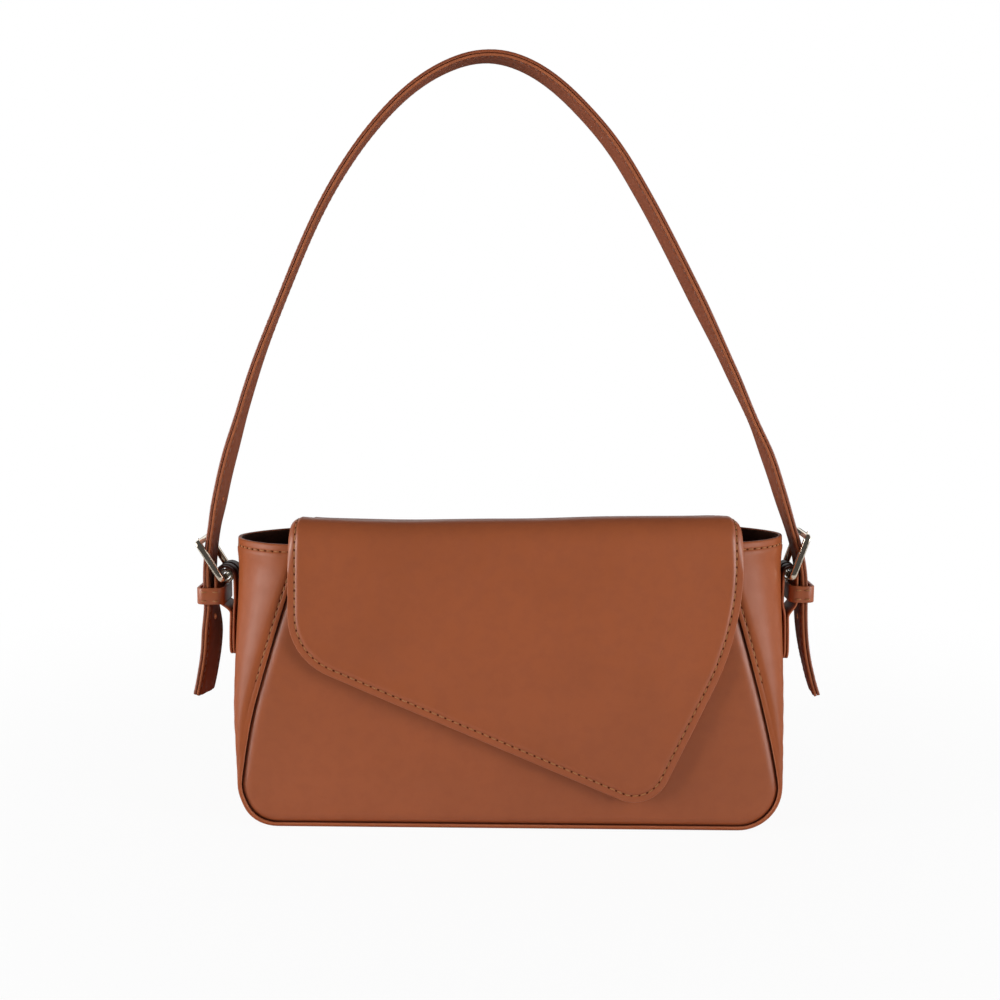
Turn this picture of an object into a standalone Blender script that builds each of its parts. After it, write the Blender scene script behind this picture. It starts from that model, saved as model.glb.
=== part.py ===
"""Leather shoulder bag: a structured body with a slanted flap, and a strap buckled to a tab at each end.

Metres, +Z up. X runs along the bag's width and the front faces -Y. The base rests on Z = 0, and the
origin is the middle of the base.
"""

import math

import bmesh
import bpy
from mathutils import Matrix, Vector

# Body
BODY_HALF_WIDTH = 0.1313
SIDE_DRAFT = 0.0003
MOUTH_HALF_WIDTH = BODY_HALF_WIDTH - SIDE_DRAFT
RIM_HEIGHT = 0.136
BASE_HALF_DEPTH = 0.038
MOUTH_HALF_DEPTH = 0.030
BOTTOM_RADIUS = 0.021
LEATHER = 0.0016
FIT_GAP = 0.0003

# Gusset: the band that makes the sides and the bottom, and laps over both panels
WING_TOP_INSET = 0.0335
SEAM_LOW_INSET = 0.0038
WING_CURVE_SHARE = 1.22
SIDE_TOP_RADIUS = 0.029
SIDE_LOW_RADIUS = 0.0022
SIDE_CURVE_SHARE = 1.8
SIDE_CROWN = 0.0025
PANEL_TUCK = 0.008
BASE_SEAM_BEYOND_ARC = 0.012

# Lining and base board
LINING = 0.0008
BASE_BOARD_THICKNESS = 0.002

# Flap: two layers, seen from the front it has a slanted lower edge and a rounded tip
FLAP_LEATHER = 0.0015
FLAP_LINING = 0.0009
FLAP_LEFT_INSET = 0.0266
FLAP_RIGHT_INSET = 0.0211
FLAP_LEFT = FLAP_LEFT_INSET - MOUTH_HALF_WIDTH
FLAP_RIGHT = MOUTH_HALF_WIDTH - FLAP_RIGHT_INSET
FLAP_RISE = 0.011
FLAP_TOP = RIM_HEIGHT + FLAP_RISE
FLAP_STANDOFF = 0.0026
FLAP_FRONT_RADIUS = 0.013
FLAP_BACK_RADIUS = 0.004
FLAP_BACK_RISE = 0.0009
FLAP_LEFT_CORNER_HEIGHT = 0.0831
FLAP_LEFT_CORNER_RADIUS = 0.0305
FLAP_RIGHT_CORNER_HEIGHT = 0.0952
FLAP_RIGHT_CORNER_RADIUS = 0.1285
FLAP_TIP_X = 0.0681
FLAP_TIP_HEIGHT = 0.0107
FLAP_TIP_RADIUS = 0.0174
FLAP_TIP_FLAT = 0.00015
SEWN_EDGE_HEIGHT = 0.024
SEWN_EDGE_SEAM_GAP = 0.003
HINGE_OUTSET = 0.0002

# Magnetic snap between the flap and the front panel
SNAP_X = 0.020
SNAP_HEIGHT = 0.062
SNAP_RADIUS = 0.007
SNAP_SOCKET_DEPTH = 0.002
SNAP_STUD_DEPTH = 0.0015
SNAP_EDGE = 0.0005
SNAP_HOLE_RADIUS = 0.0037
SNAP_HOLE_DEPTH = 0.0013
SNAP_PIN_RADIUS = 0.0022
SNAP_PIN_REACH = 0.0009
SNAP_POST_RADIUS = 0.0018
WASHER_RADIUS = 0.006
WASHER_THICKNESS = 0.0005

# Strap: two layers
STRAP_WIDTH = 0.020
STRAP_LEATHER = 0.0013
STRAP_APEX_X = -0.0115
STRAP_APEX_HEIGHT = 0.36615
STRAP_HOLE_RADIUS = 0.0016
STRAP_HOLE_PITCH = 0.030
STRAP_ROUTE_STEP = 0.007
# Each leg as shares of its reach in to the apex and of its rise up to it
LEFT_LEG_SHARES = (
    (0.018, 0.062),
    (0.061, 0.184),
    (0.102, 0.264),
    (0.147, 0.344),
    (0.198, 0.423),
    (0.256, 0.501),
    (0.316, 0.580),
    (0.377, 0.657),
    (0.448, 0.734),
    (0.534, 0.810),
    (0.640, 0.885),
    (0.792, 0.960),
)
RIGHT_LEG_SHARES = (
    (0.012, 0.035),
    (0.039, 0.082),
    (0.081, 0.162),
    (0.125, 0.241),
    (0.182, 0.319),
    (0.240, 0.397),
    (0.300, 0.475),
    (0.361, 0.551),
    (0.423, 0.627),
    (0.487, 0.703),
    (0.557, 0.778),
    (0.639, 0.853),
    (0.819, 0.962),
)

# Tabs: a strip folded round the buckle's heel bar, both ends sewn down on the side
TAB_WIDTH = 0.018
TAB_LEATHER = 0.0018
TAB_FOOT_HEIGHT = 0.077
TAB_PART_HEIGHT = 0.0965
TAB_LEG_RISE = 0.009
TAB_SLOT_HALF_WIDTH = 0.0016

# Buckle frame
FRAME_LENGTH = 0.024
FRAME_BAR = 0.0028
FRAME_SIDE_BAR = 0.0025
FRAME_THICKNESS = 0.0023
FRAME_STRAP_CLEARANCE = 0.0005
FRAME_CORNER_RADIUS = 0.002
FRAME_INNER_RADIUS = 0.0007
FRAME_EDGE = 0.0003

# Buckle prong
PRONG_RADIUS = 0.0009
PRONG_RING_RADIUS = 0.0028
PRONG_TIP_BEYOND = 0.0018
PRONG_HOLE_CLEARANCE = 0.0012
PRONG_RING_START_SHARE = 0.78

# Keeper: a leather band round the strap's tail and the tab's outer leg
KEEPER_LEATHER = 0.0014
KEEPER_HEIGHT = 0.0082
KEEPER_OUTER_ROOM = 0.0017
KEEPER_WIDTH_CLEARANCE = 0.001
KEEPER_CORNER_RADIUS = 0.002

# What differs between the two sides
SIDES = {
    "left": dict(
        sign=-1,
        tab_standoff=0.0020,
        tab_loop_width=0.0094,
        tab_loop_height=0.1167,
        heel_inset=0.0038,
        heel_height=0.1154,
        frame_tilt=math.radians(32),
        strap_clearance=0.0021,
        strap_start=0.124,
        keeper_height=0.1072,
        keeper_inner_room=0.0026,
        tail_end=0.0563,
        tail_flare=0.0062,
        tail_straight=0.104,
        leg_shares=LEFT_LEG_SHARES,
    ),
    "right": dict(
        sign=1,
        tab_standoff=0.0015,
        tab_loop_width=0.0068,
        tab_loop_height=0.1202,
        heel_inset=0.0031,
        heel_height=0.1187,
        frame_tilt=math.radians(18.6),
        strap_clearance=0.0013,
        strap_start=0.121,
        keeper_height=0.1106,
        keeper_inner_room=0.0020,
        tail_end=0.0611,
        tail_flare=0.0075,
        tail_straight=0.104,
        leg_shares=RIGHT_LEG_SHARES,
    ),
}

# How finely curves are cut
SIDE_STEPS = 8
ARC_STEPS = 5
CROWN_STEPS = 4
FLAP_COLUMNS = 10
ROUND_STEPS = 32
CUT_OVERRUN = 0.002

STRAP_THICKNESS = 2 * STRAP_LEATHER + FIT_GAP
SIDE_LENGTH = RIM_HEIGHT - BOTTOM_RADIUS
PANEL_INSET = LEATHER + FIT_GAP
LINING_INSET = PANEL_INSET + LEATHER + FIT_GAP
FLAP_THICKNESS = FLAP_LEATHER + FIT_GAP + FLAP_LINING
FRONT_SLOPE = math.atan((BASE_HALF_DEPTH - MOUTH_HALF_DEPTH) / SIDE_LENGTH)


def clear_scene():
    for obj in list(bpy.data.objects):
        bpy.data.objects.remove(obj)


def new_collection(name):
    collection = bpy.data.collections.new(name)
    bpy.context.scene.collection.children.link(collection)
    return collection


def new_material(name, colour, roughness, metallic=0.0):
    material = bpy.data.materials.new(name)
    material.use_nodes = True
    shader = material.node_tree.nodes["Principled BSDF"]
    shader.inputs["Base Color"].default_value = (*colour, 1.0)
    shader.inputs["Roughness"].default_value = roughness
    shader.inputs["Metallic"].default_value = metallic
    material.diffuse_color = (*colour, 1.0)
    return material


def add_mesh(name, points, faces, material, collection, smooth=True):
    """A mesh object whose points are already in world space."""
    mesh = bpy.data.meshes.new(name)
    mesh.from_pydata([tuple(p) for p in points], [], faces)
    mesh.update()
    obj = bpy.data.objects.new(name, mesh)
    collection.objects.link(obj)
    if material:
        mesh.materials.append(material)
    if smooth:
        mesh.shade_smooth()
        mesh.set_sharp_from_angle(angle=math.radians(35))
    return obj


def add_thickness(obj, thickness):
    """Thickens an open sheet to the side away from its normals."""
    solidify = obj.modifiers.new("Thickness", "SOLIDIFY")
    solidify.thickness = thickness
    solidify.offset = -1
    solidify.use_even_offset = True


def add_sheet(name, rows, thickness, material, collection, flip=False):
    """An open sheet through rows of points, thickened to one side."""
    columns = len(rows[0])
    points = [point for row in rows for point in row]
    faces = []
    for i in range(len(rows) - 1):
        for j in range(columns - 1):
            a = i * columns + j
            face = (a, a + 1, a + columns + 1, a + columns)
            faces.append(face[::-1] if flip else face)
    obj = add_mesh(name, points, faces, material, collection)
    add_thickness(obj, thickness)
    return obj


def flat_outline(name, loops, half_depth, placement, material, collection):
    """A flat outline, with holes where it has inner loops, given a thickness and made a closed mesh."""
    curve = bpy.data.curves.new(name + "_outline", "CURVE")
    curve.dimensions = "2D"
    curve.fill_mode = "BOTH"
    curve.extrude = half_depth
    for loop in loops:
        spline = curve.splines.new("POLY")
        spline.points.add(len(loop) - 1)
        for point, (x, y) in zip(spline.points, loop):
            point.co = (x, y, 0.0, 1.0)
        spline.use_cyclic_u = True
    guide = bpy.data.objects.new(name + "_outline", curve)
    collection.objects.link(guide)
    guide.matrix_world = placement
    bpy.context.view_layer.update()
    evaluated = guide.evaluated_get(bpy.context.evaluated_depsgraph_get())
    mesh = bpy.data.meshes.new_from_object(evaluated)
    mesh.name = name
    cage = bmesh.new()
    cage.from_mesh(mesh)
    bmesh.ops.remove_doubles(cage, verts=cage.verts, dist=FIT_GAP / 10)
    bmesh.ops.recalc_face_normals(cage, faces=cage.faces)
    cage.to_mesh(mesh)
    cage.free()
    mesh.materials.clear()
    mesh.materials.append(material)
    obj = bpy.data.objects.new(name, mesh)
    collection.objects.link(obj)
    obj.matrix_world = guide.matrix_world
    bpy.data.objects.remove(guide)
    mesh.shade_smooth()
    mesh.set_sharp_from_angle(angle=math.radians(35))
    return obj


def cylinder_between(name, start, end, radius, material, collection):
    """A closed cylinder from one point to another."""
    mesh = bpy.data.meshes.new(name)
    cage = bmesh.new()
    axis = Vector(end) - Vector(start)
    bmesh.ops.create_cone(
        cage,
        cap_ends=True,
        segments=ROUND_STEPS // 2,
        radius1=radius,
        radius2=radius,
        depth=axis.length,
    )
    cage.to_mesh(mesh)
    cage.free()
    obj = bpy.data.objects.new(name, mesh)
    collection.objects.link(obj)
    turn = axis.to_track_quat("Z", "Y").to_matrix().to_4x4()
    obj.matrix_world = Matrix.Translation((Vector(start) + Vector(end)) / 2) @ turn
    if material:
        mesh.materials.append(material)
    return obj


def box_between(name, low, high, material, collection):
    bpy.ops.mesh.primitive_cube_add(size=1.0)
    obj = bpy.context.object
    obj.name = name
    obj.data.name = name
    for other in list(obj.users_collection):
        other.objects.unlink(obj)
    collection.objects.link(obj)
    size = Vector(high) - Vector(low)
    middle = (Vector(high) + Vector(low)) / 2
    obj.data.transform(Matrix.Diagonal((*size, 1.0)))
    obj.location = middle
    if material:
        obj.data.materials.append(material)
    return obj


def turned(name, profile, placement, material, collection):
    """A profile of (radius, height) from top to bottom, turned round its own Z."""
    mesh = bpy.data.meshes.new(name)
    edges = [(i, i + 1) for i in range(len(profile) - 1)]
    mesh.from_pydata([(r, 0.0, z) for r, z in profile], edges, [])
    mesh.materials.append(material)
    obj = bpy.data.objects.new(name, mesh)
    collection.objects.link(obj)
    screw = obj.modifiers.new("Turn", "SCREW")
    screw.steps = ROUND_STEPS
    screw.render_steps = ROUND_STEPS
    screw.use_merge_vertices = True
    screw.merge_threshold = FIT_GAP / 10
    obj.matrix_world = placement
    return obj


def cut(obj, cutter):
    cutter.hide_render = True
    cutter.display_type = "WIRE"
    boolean = obj.modifiers.new("Cut_" + cutter.name, "BOOLEAN")
    boolean.operation = "DIFFERENCE"
    boolean.object = cutter
    boolean.solver = "EXACT"


def axis_empty(name, position, collection):
    empty = bpy.data.objects.new(name, None)
    empty.empty_display_size = STRAP_WIDTH
    collection.objects.link(empty)
    empty.location = position
    return empty


def carry(empty, children):
    """Parents finished pieces to an empty, with each left where it stands."""
    bpy.context.view_layer.update()
    for child in children:
        child.parent = empty
        child.matrix_parent_inverse = empty.matrix_world.inverted()


def fillet(before, corner, after, radius, steps):
    """Points of the arc that rounds one corner of a flat outline."""
    corner = Vector(corner)
    to_before = (Vector(before) - corner).normalized()
    to_after = (Vector(after) - corner).normalized()
    half_angle = to_before.angle(to_after) / 2
    centre = corner + (to_before + to_after).normalized() * radius / math.sin(half_angle)
    start = corner + to_before * radius / math.tan(half_angle) - centre
    end = corner + to_after * radius / math.tan(half_angle) - centre
    sweep = start.angle_signed(end)
    return [tuple(centre + Matrix.Rotation(-sweep * i / steps, 2) @ start) for i in range(steps + 1)]


def rounded_rectangle(half_width, half_height, radius, steps):
    """Anticlockwise points of a rectangle with round corners."""
    points = []
    for quarter, (sx, sy) in enumerate(((1, -1), (1, 1), (-1, 1), (-1, -1))):
        for i in range(steps + 1):
            angle = (quarter - 1 + i / steps) * math.pi / 2
            x = sx * (half_width - radius) + radius * math.cos(angle)
            y = sy * (half_height - radius) + radius * math.sin(angle)
            points.append((x, y))
    return points


def smooth_route(points, step):
    """A Catmull-Rom curve through the points, read about every step."""
    ends = [2 * points[0] - points[1]] + points + [2 * points[-1] - points[-2]]
    route = []
    for a, b, c, d in zip(ends, ends[1:], ends[2:], ends[3:]):
        pieces = max(1, round((c - b).length / step))
        for i in range(pieces):
            t = i / pieces
            route.append(
                0.5
                * (
                    2 * b
                    + (c - a) * t
                    + (2 * a - 5 * b + 4 * c - d) * t * t
                    + (3 * b - 3 * c + d - a) * t * t * t
                )
            )
    return route + [points[-1]]


def offset_route(route, distance):
    """The route moved sideways, to the left of its travel."""
    moved = []
    for i, point in enumerate(route):
        travel = route[min(i + 1, len(route) - 1)] - route[max(i - 1, 0)]
        moved.append(point + Vector((-travel.y, travel.x)).normalized() * distance)
    return moved


def band_outline(route, low, high):
    """The closed outline of a layer between two offsets of a route."""
    there = offset_route(route, low)
    back = reversed(offset_route(route, high))
    return [tuple(p) for p in there] + [tuple(p) for p in back]


# Draws (X, Z) outlines upright, with their thickness along Y
UPRIGHT = Matrix.Rotation(math.pi / 2, 4, "X")


def side_share(height):
    """0 at the rim and 1 where the rounded bottom corner starts."""
    return min(1.0, max(0.0, (RIM_HEIGHT - height) / SIDE_LENGTH))


def half_width(height, inset=0.0):
    """Half the body's width at a height, less an inset."""
    if height >= BOTTOM_RADIUS:
        ease = 1 - (1 - side_share(height)) ** 2
        return MOUTH_HALF_WIDTH + (BODY_HALF_WIDTH - MOUTH_HALF_WIDTH) * ease - inset
    radius = BOTTOM_RADIUS - inset
    drop = min(BOTTOM_RADIUS - height, radius)
    return BODY_HALF_WIDTH - BOTTOM_RADIUS + math.sqrt(radius**2 - drop**2)


def half_depth(height):
    return MOUTH_HALF_DEPTH + (BASE_HALF_DEPTH - MOUTH_HALF_DEPTH) * side_share(height)


def seam_inset(share):
    return SEAM_LOW_INSET + (WING_TOP_INSET - SEAM_LOW_INSET) * (1 - share) ** WING_CURVE_SHARE


def side_radius(share):
    return SIDE_LOW_RADIUS + (SIDE_TOP_RADIUS - SIDE_LOW_RADIUS) * (1 - share) ** SIDE_CURVE_SHARE


def side_crown(share):
    """How far the side wall bulges at mid depth: nothing at the rim and at the bottom, most halfway down."""
    return SIDE_CROWN * (4 * share * (1 - share)) ** 2


def side_wall(height):
    """Where the crowned side wall's outer face stands at mid depth."""
    return half_width(height) + side_crown(side_share(height))


def outline_stations():
    """Places down one side and round its bottom corner: (x, z), the way in, and the side's share."""
    stations = []
    for i in range(SIDE_STEPS + 1):
        height = RIM_HEIGHT - SIDE_LENGTH * i / SIDE_STEPS
        stations.append((Vector((half_width(height), height)), Vector((-1.0, 0.0)), side_share(height)))
    centre = Vector((BODY_HALF_WIDTH - BOTTOM_RADIUS, BOTTOM_RADIUS))
    for i in range(1, ARC_STEPS + 2):
        angle = math.pi / 2 * i / (ARC_STEPS + 1)
        way_out = Vector((math.cos(angle), -math.sin(angle)))
        stations.append((centre + way_out * BOTTOM_RADIUS, -way_out, 1.0))
    return stations


def gusset_section(place, way_in, share, sign):
    """One row across the gusset, from its front seam edge round the outside to its back seam edge."""
    radius = side_radius(share)
    crown = side_crown(share)
    across = []
    depth = half_depth(place.y)
    across.append((seam_inset(share), -depth))
    for i in range(ARC_STEPS + 1):
        angle = math.pi / 2 * i / ARC_STEPS
        across.append((radius - radius * math.sin(angle), -(depth - radius) - radius * math.cos(angle)))
    flat = depth - radius
    for i in range(1, CROWN_STEPS):
        y = flat * (2 * i / (2 * CROWN_STEPS) - 1)
        across.append((-crown * (1 - (y / flat) ** 2), y))
    across.append((-crown, 0.0))
    across += [(inset, -y) for inset, y in reversed(across[:-1])]
    row = []
    for inset, y in across:
        spot = place + way_in * inset
        row.append(Vector((sign * spot.x, y, spot.y)))
    return row


def make_gusset(name, sign, material, collection):
    rows = [gusset_section(*station, sign) for station in outline_stations()]
    end = Vector((BODY_HALF_WIDTH - BOTTOM_RADIUS - BASE_SEAM_BEYOND_ARC, 0.0))
    rows.append(gusset_section(end, Vector((0.0, 1.0)), 1.0, sign))
    return add_sheet(name, rows, LEATHER, material, collection, flip=sign > 0)


def make_base_panel(material, collection):
    reach = BODY_HALF_WIDTH - BOTTOM_RADIUS - BASE_SEAM_BEYOND_ARC - FIT_GAP
    rows = []
    for x in (-reach, 0.0, reach):
        rows.append(gusset_section(Vector((x, 0.0)), Vector((0.0, 1.0)), 1.0, 1))
    return add_sheet("base_panel", rows, LEATHER, material, collection)


def make_panel(name, facing, material, collection):
    """A front or back panel, its edges tucked behind the gusset's lips."""
    rows = []
    for place, way_in, share in outline_stations():
        inset = max(side_radius(share), seam_inset(share) - PANEL_TUCK)
        spot = place + way_in * inset
        if not rows:
            spot.y -= FIT_GAP
        y = facing * (half_depth(spot.y) - PANEL_INSET)
        rows.append([Vector((side * spot.x, y, spot.y)) for side in (-1.0, 0.0, 1.0)])
    return add_sheet(name, rows, LEATHER, material, collection, flip=facing < 0)


def make_lining(material, collection):
    """An open-topped shell inside the body."""
    floor = LEATHER + FIT_GAP + BASE_BOARD_THICKNESS + FIT_GAP
    heights = [floor]
    for i in range(1, 4):
        heights.append(floor + (BOTTOM_RADIUS - floor) * (i / 4) ** 1.6)
    for i in range(SIDE_STEPS + 1):
        heights.append(BOTTOM_RADIUS + (SIDE_LENGTH - FIT_GAP) * i / SIDE_STEPS)
    rings = []
    for height in heights:
        radius = max(SIDE_LOW_RADIUS, side_radius(side_share(height)) - LINING_INSET)
        reach = half_width(height, PANEL_INSET)
        ring = rounded_rectangle(reach, half_depth(height) - LINING_INSET, radius, 4)
        rings.append([Vector((x, y, height)) for x, y in ring])
    count = len(rings[0])
    faces = [tuple(range(count))[::-1]]
    for i in range(len(rings) - 1):
        for j in range(count):
            k = (j + 1) % count
            faces.append((i * count + j, i * count + k, (i + 1) * count + k, (i + 1) * count + j))
    obj = add_mesh("body_lining", [p for ring in rings for p in ring], faces, material, collection)
    add_thickness(obj, LINING)
    return obj


def make_base_board(material, collection):
    low = LEATHER + FIT_GAP
    x = BODY_HALF_WIDTH - BOTTOM_RADIUS
    y = BASE_HALF_DEPTH - LINING_INSET - FIT_GAP
    return box_between("base_board", (-x, -y, low), (x, y, low + BASE_BOARD_THICKNESS), material, collection)


def flap_sides():
    """The flap's left and right edges as (x, z) points, each from the top down to the tip's lowest point."""
    left_corner = (FLAP_LEFT, FLAP_LEFT_CORNER_HEIGHT)
    right_corner = (FLAP_RIGHT, FLAP_RIGHT_CORNER_HEIGHT)
    tip = (FLAP_TIP_X, FLAP_TIP_HEIGHT)
    left = fillet((FLAP_LEFT, FLAP_TOP), left_corner, tip, FLAP_LEFT_CORNER_RADIUS, ARC_STEPS)
    right = fillet((FLAP_RIGHT, FLAP_TOP), right_corner, tip, FLAP_RIGHT_CORNER_RADIUS, ARC_STEPS)
    round_tip = fillet(left_corner, tip, right_corner, FLAP_TIP_RADIUS, 4 * ARC_STEPS)
    lowest = min(range(len(round_tip)), key=lambda i: round_tip[i][1])
    return left + round_tip[: lowest + 1], right + round_tip[lowest:][::-1]


def x_at(edge, height):
    """Where an edge that runs from top to bottom stands at a height."""
    for (x0, z0), (x1, z1) in zip(edge, edge[1:]):
        if z0 >= height >= z1 and z0 > z1:
            return x0 + (x1 - x0) * (z0 - height) / (z0 - z1)
    return edge[0][0] if height > edge[0][1] else edge[-1][0]


def flap_heights(left, right, top):
    """The heights at which the flap's hanging part has a row, from its top fold down to its tip."""
    lowest = min(left[-1][1], right[-1][1]) + FLAP_TIP_FLAT
    found = sorted({z for _, z in left + right if lowest < z < top - FLAP_TIP_FLAT}, reverse=True)
    heights = []
    for height in found:
        if not heights or heights[-1] - height > FLAP_TIP_FLAT * 4:
            heights.append(height)
    if heights[-1] - lowest < FLAP_TIP_FLAT * 4:
        heights.pop()
    return heights + [lowest]


def hinge_line():
    """The flap's hinge axis in (y, z): just outside the sewn edge, at the top of the back panel."""
    return MOUTH_HALF_DEPTH - PANEL_INSET + FIT_GAP + FLAP_THICKNESS + HINGE_OUTSET, RIM_HEIGHT + FIT_GAP * 2


def flap_path(inset):
    """The flap's section in (y, z) from its hinge over the top to the front, at a depth below its face.

    Its top rises to the front, along the line that touches the back fold's arc and the front fold's arc.
    """
    hinge_y, hinge_z = hinge_line()
    back = Vector((hinge_y - HINGE_OUTSET - FLAP_BACK_RADIUS, hinge_z + FLAP_BACK_RISE))
    fold_z = FLAP_TOP - FLAP_FRONT_RADIUS
    end_z = fold_z + FLAP_FRONT_RADIUS * math.sin(FRONT_SLOPE)
    fold = Vector((FLAP_FRONT_RADIUS * math.cos(FRONT_SLOPE) - flap_front(end_z), fold_z))
    between = back - fold
    fall = math.asin((FLAP_FRONT_RADIUS - FLAP_BACK_RADIUS) / between.length)
    fall -= math.atan2(between.y, between.x)
    path = [(back.x + FLAP_BACK_RADIUS - inset, hinge_z + FIT_GAP / 2)]
    for i in range(ARC_STEPS + 1):
        angle = (math.pi / 2 - fall) * i / ARC_STEPS
        radius = FLAP_BACK_RADIUS - inset
        path.append((back.x + radius * math.cos(angle), back.y + radius * math.sin(angle)))
    for i in range(ARC_STEPS + 2):
        angle = -fall + (math.pi / 2 - FRONT_SLOPE + fall) * i / (ARC_STEPS + 1)
        radius = FLAP_FRONT_RADIUS - inset
        path.append((fold.x - radius * math.sin(angle), fold.y + radius * math.cos(angle)))
    return path


def flap_front(height):
    """How far in front of the mid plane the flap's outer face hangs."""
    return half_depth(height) + FLAP_STANDOFF + FLAP_THICKNESS


def make_flap_layer(name, inset, thickness, material, collection):
    left, right = flap_sides()
    rows = []
    for y, z in flap_path(inset):
        rows.append([Vector((x, y, z)) for x in flap_columns(FLAP_LEFT, FLAP_RIGHT)])
    shift = Vector((0.0, math.cos(FRONT_SLOPE), -math.sin(FRONT_SLOPE))) * inset
    for z in flap_heights(left, right, rows[-1][0].z):
        y = -flap_front(z)
        rows.append([Vector((x, y, z)) + shift for x in flap_columns(x_at(left, z), x_at(right, z))])
    return add_sheet(name, rows, thickness, material, collection, flip=True)


def flap_columns(left, right):
    return [left + (right - left) * i / FLAP_COLUMNS for i in range(FLAP_COLUMNS + 1)]


def make_sewn_edge(material, collection):
    """The flap's edge below the hinge, sewn flat on the back panel between the gusset's wings."""
    hinge_y, hinge_z = hinge_line()
    top = hinge_z - FIT_GAP / 2
    foot = top - SEWN_EDGE_HEIGHT
    reach = half_width(RIM_HEIGHT) - WING_TOP_INSET - SEWN_EDGE_SEAM_GAP
    rows = []
    for z in (top, foot):
        height = min(z, RIM_HEIGHT)
        y = half_depth(height) - PANEL_INSET + FIT_GAP + FLAP_THICKNESS
        rows.append([Vector((x, y, z)) for x in (-reach, 0.0, reach)])
    return add_sheet("flap_sewn_edge", rows, FLAP_THICKNESS, material, collection)


def snap_placement():
    """A frame on the front panel's outer face, with its Z along the way the panel faces."""
    origin = Vector((SNAP_X, -(half_depth(SNAP_HEIGHT) - PANEL_INSET), SNAP_HEIGHT))
    facing = Vector((0.0, -math.cos(FRONT_SLOPE), math.sin(FRONT_SLOPE)))
    return Matrix.Translation(origin) @ facing.to_track_quat("Z", "Y").to_matrix().to_4x4()


def snap_room():
    """From the front panel's outer face to the flap lining's inner face, square to both."""
    return (PANEL_INSET + FLAP_STANDOFF) * math.cos(FRONT_SLOPE)


def make_snap(steel, panel, flap_outer, flap_lining, parts, cutters):
    place = snap_placement()
    room = snap_room()
    socket_top = FIT_GAP + SNAP_SOCKET_DEPTH
    socket = turned(
        "snap_socket",
        [
            (0.0, socket_top - SNAP_HOLE_DEPTH),
            (SNAP_HOLE_RADIUS, socket_top - SNAP_HOLE_DEPTH),
            (SNAP_HOLE_RADIUS, socket_top),
            (SNAP_RADIUS - SNAP_EDGE, socket_top),
            (SNAP_RADIUS, socket_top - SNAP_EDGE),
            (SNAP_RADIUS, FIT_GAP),
            (SNAP_POST_RADIUS, FIT_GAP),
            (SNAP_POST_RADIUS, -LEATHER),
            (0.0, -LEATHER),
        ],
        place,
        steel,
        parts,
    )
    stud_low = room - FIT_GAP - SNAP_STUD_DEPTH
    washer_low = room + FLAP_LINING + FIT_GAP
    stud = turned(
        "snap_stud",
        [
            (0.0, washer_low + WASHER_THICKNESS),
            (SNAP_POST_RADIUS, washer_low + WASHER_THICKNESS),
            (SNAP_POST_RADIUS, room - FIT_GAP),
            (SNAP_RADIUS, room - FIT_GAP),
            (SNAP_RADIUS, stud_low + SNAP_EDGE),
            (SNAP_RADIUS - SNAP_EDGE, stud_low),
            (SNAP_PIN_RADIUS, stud_low),
            (SNAP_PIN_RADIUS, stud_low - SNAP_PIN_REACH),
            (0.0, stud_low - SNAP_PIN_REACH),
        ],
        place,
        steel,
        parts,
    )
    socket_washer = make_washer("snap_socket_washer", place, -LEATHER, steel, parts)
    stud_washer = make_washer("snap_stud_washer", place, washer_low, steel, parts)
    hole = SNAP_POST_RADIUS + FIT_GAP
    recess = WASHER_RADIUS + FIT_GAP
    recess_depth = WASHER_THICKNESS + FIT_GAP
    snap_cut(panel, "panel_post_hole", place, -LEATHER - CUT_OVERRUN, CUT_OVERRUN, hole, cutters)
    snap_cut(panel, "panel_recess", place, -LEATHER - CUT_OVERRUN, recess_depth - LEATHER, recess, cutters)
    lining_high = room + FLAP_LINING + FIT_GAP / 2
    snap_cut(flap_lining, "flap_post_hole", place, room - CUT_OVERRUN, lining_high, hole, cutters)
    recess_low = room + FLAP_LINING + FIT_GAP / 2
    snap_cut(flap_outer, "flap_recess", place, recess_low, washer_low + recess_depth, recess, cutters)
    return socket, socket_washer, stud, stud_washer


def make_washer(name, place, low, steel, parts):
    inner = SNAP_POST_RADIUS + FIT_GAP
    high = low + WASHER_THICKNESS
    profile = [(inner, high), (WASHER_RADIUS, high), (WASHER_RADIUS, low), (inner, low), (inner, high)]
    return turned(name, profile, place, steel, parts)


def snap_cut(obj, name, place, low, high, radius, cutters):
    start = place @ Vector((0, 0, low))
    end = place @ Vector((0, 0, high))
    cut(obj, cylinder_between(name, start, end, radius, None, cutters))


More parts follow.
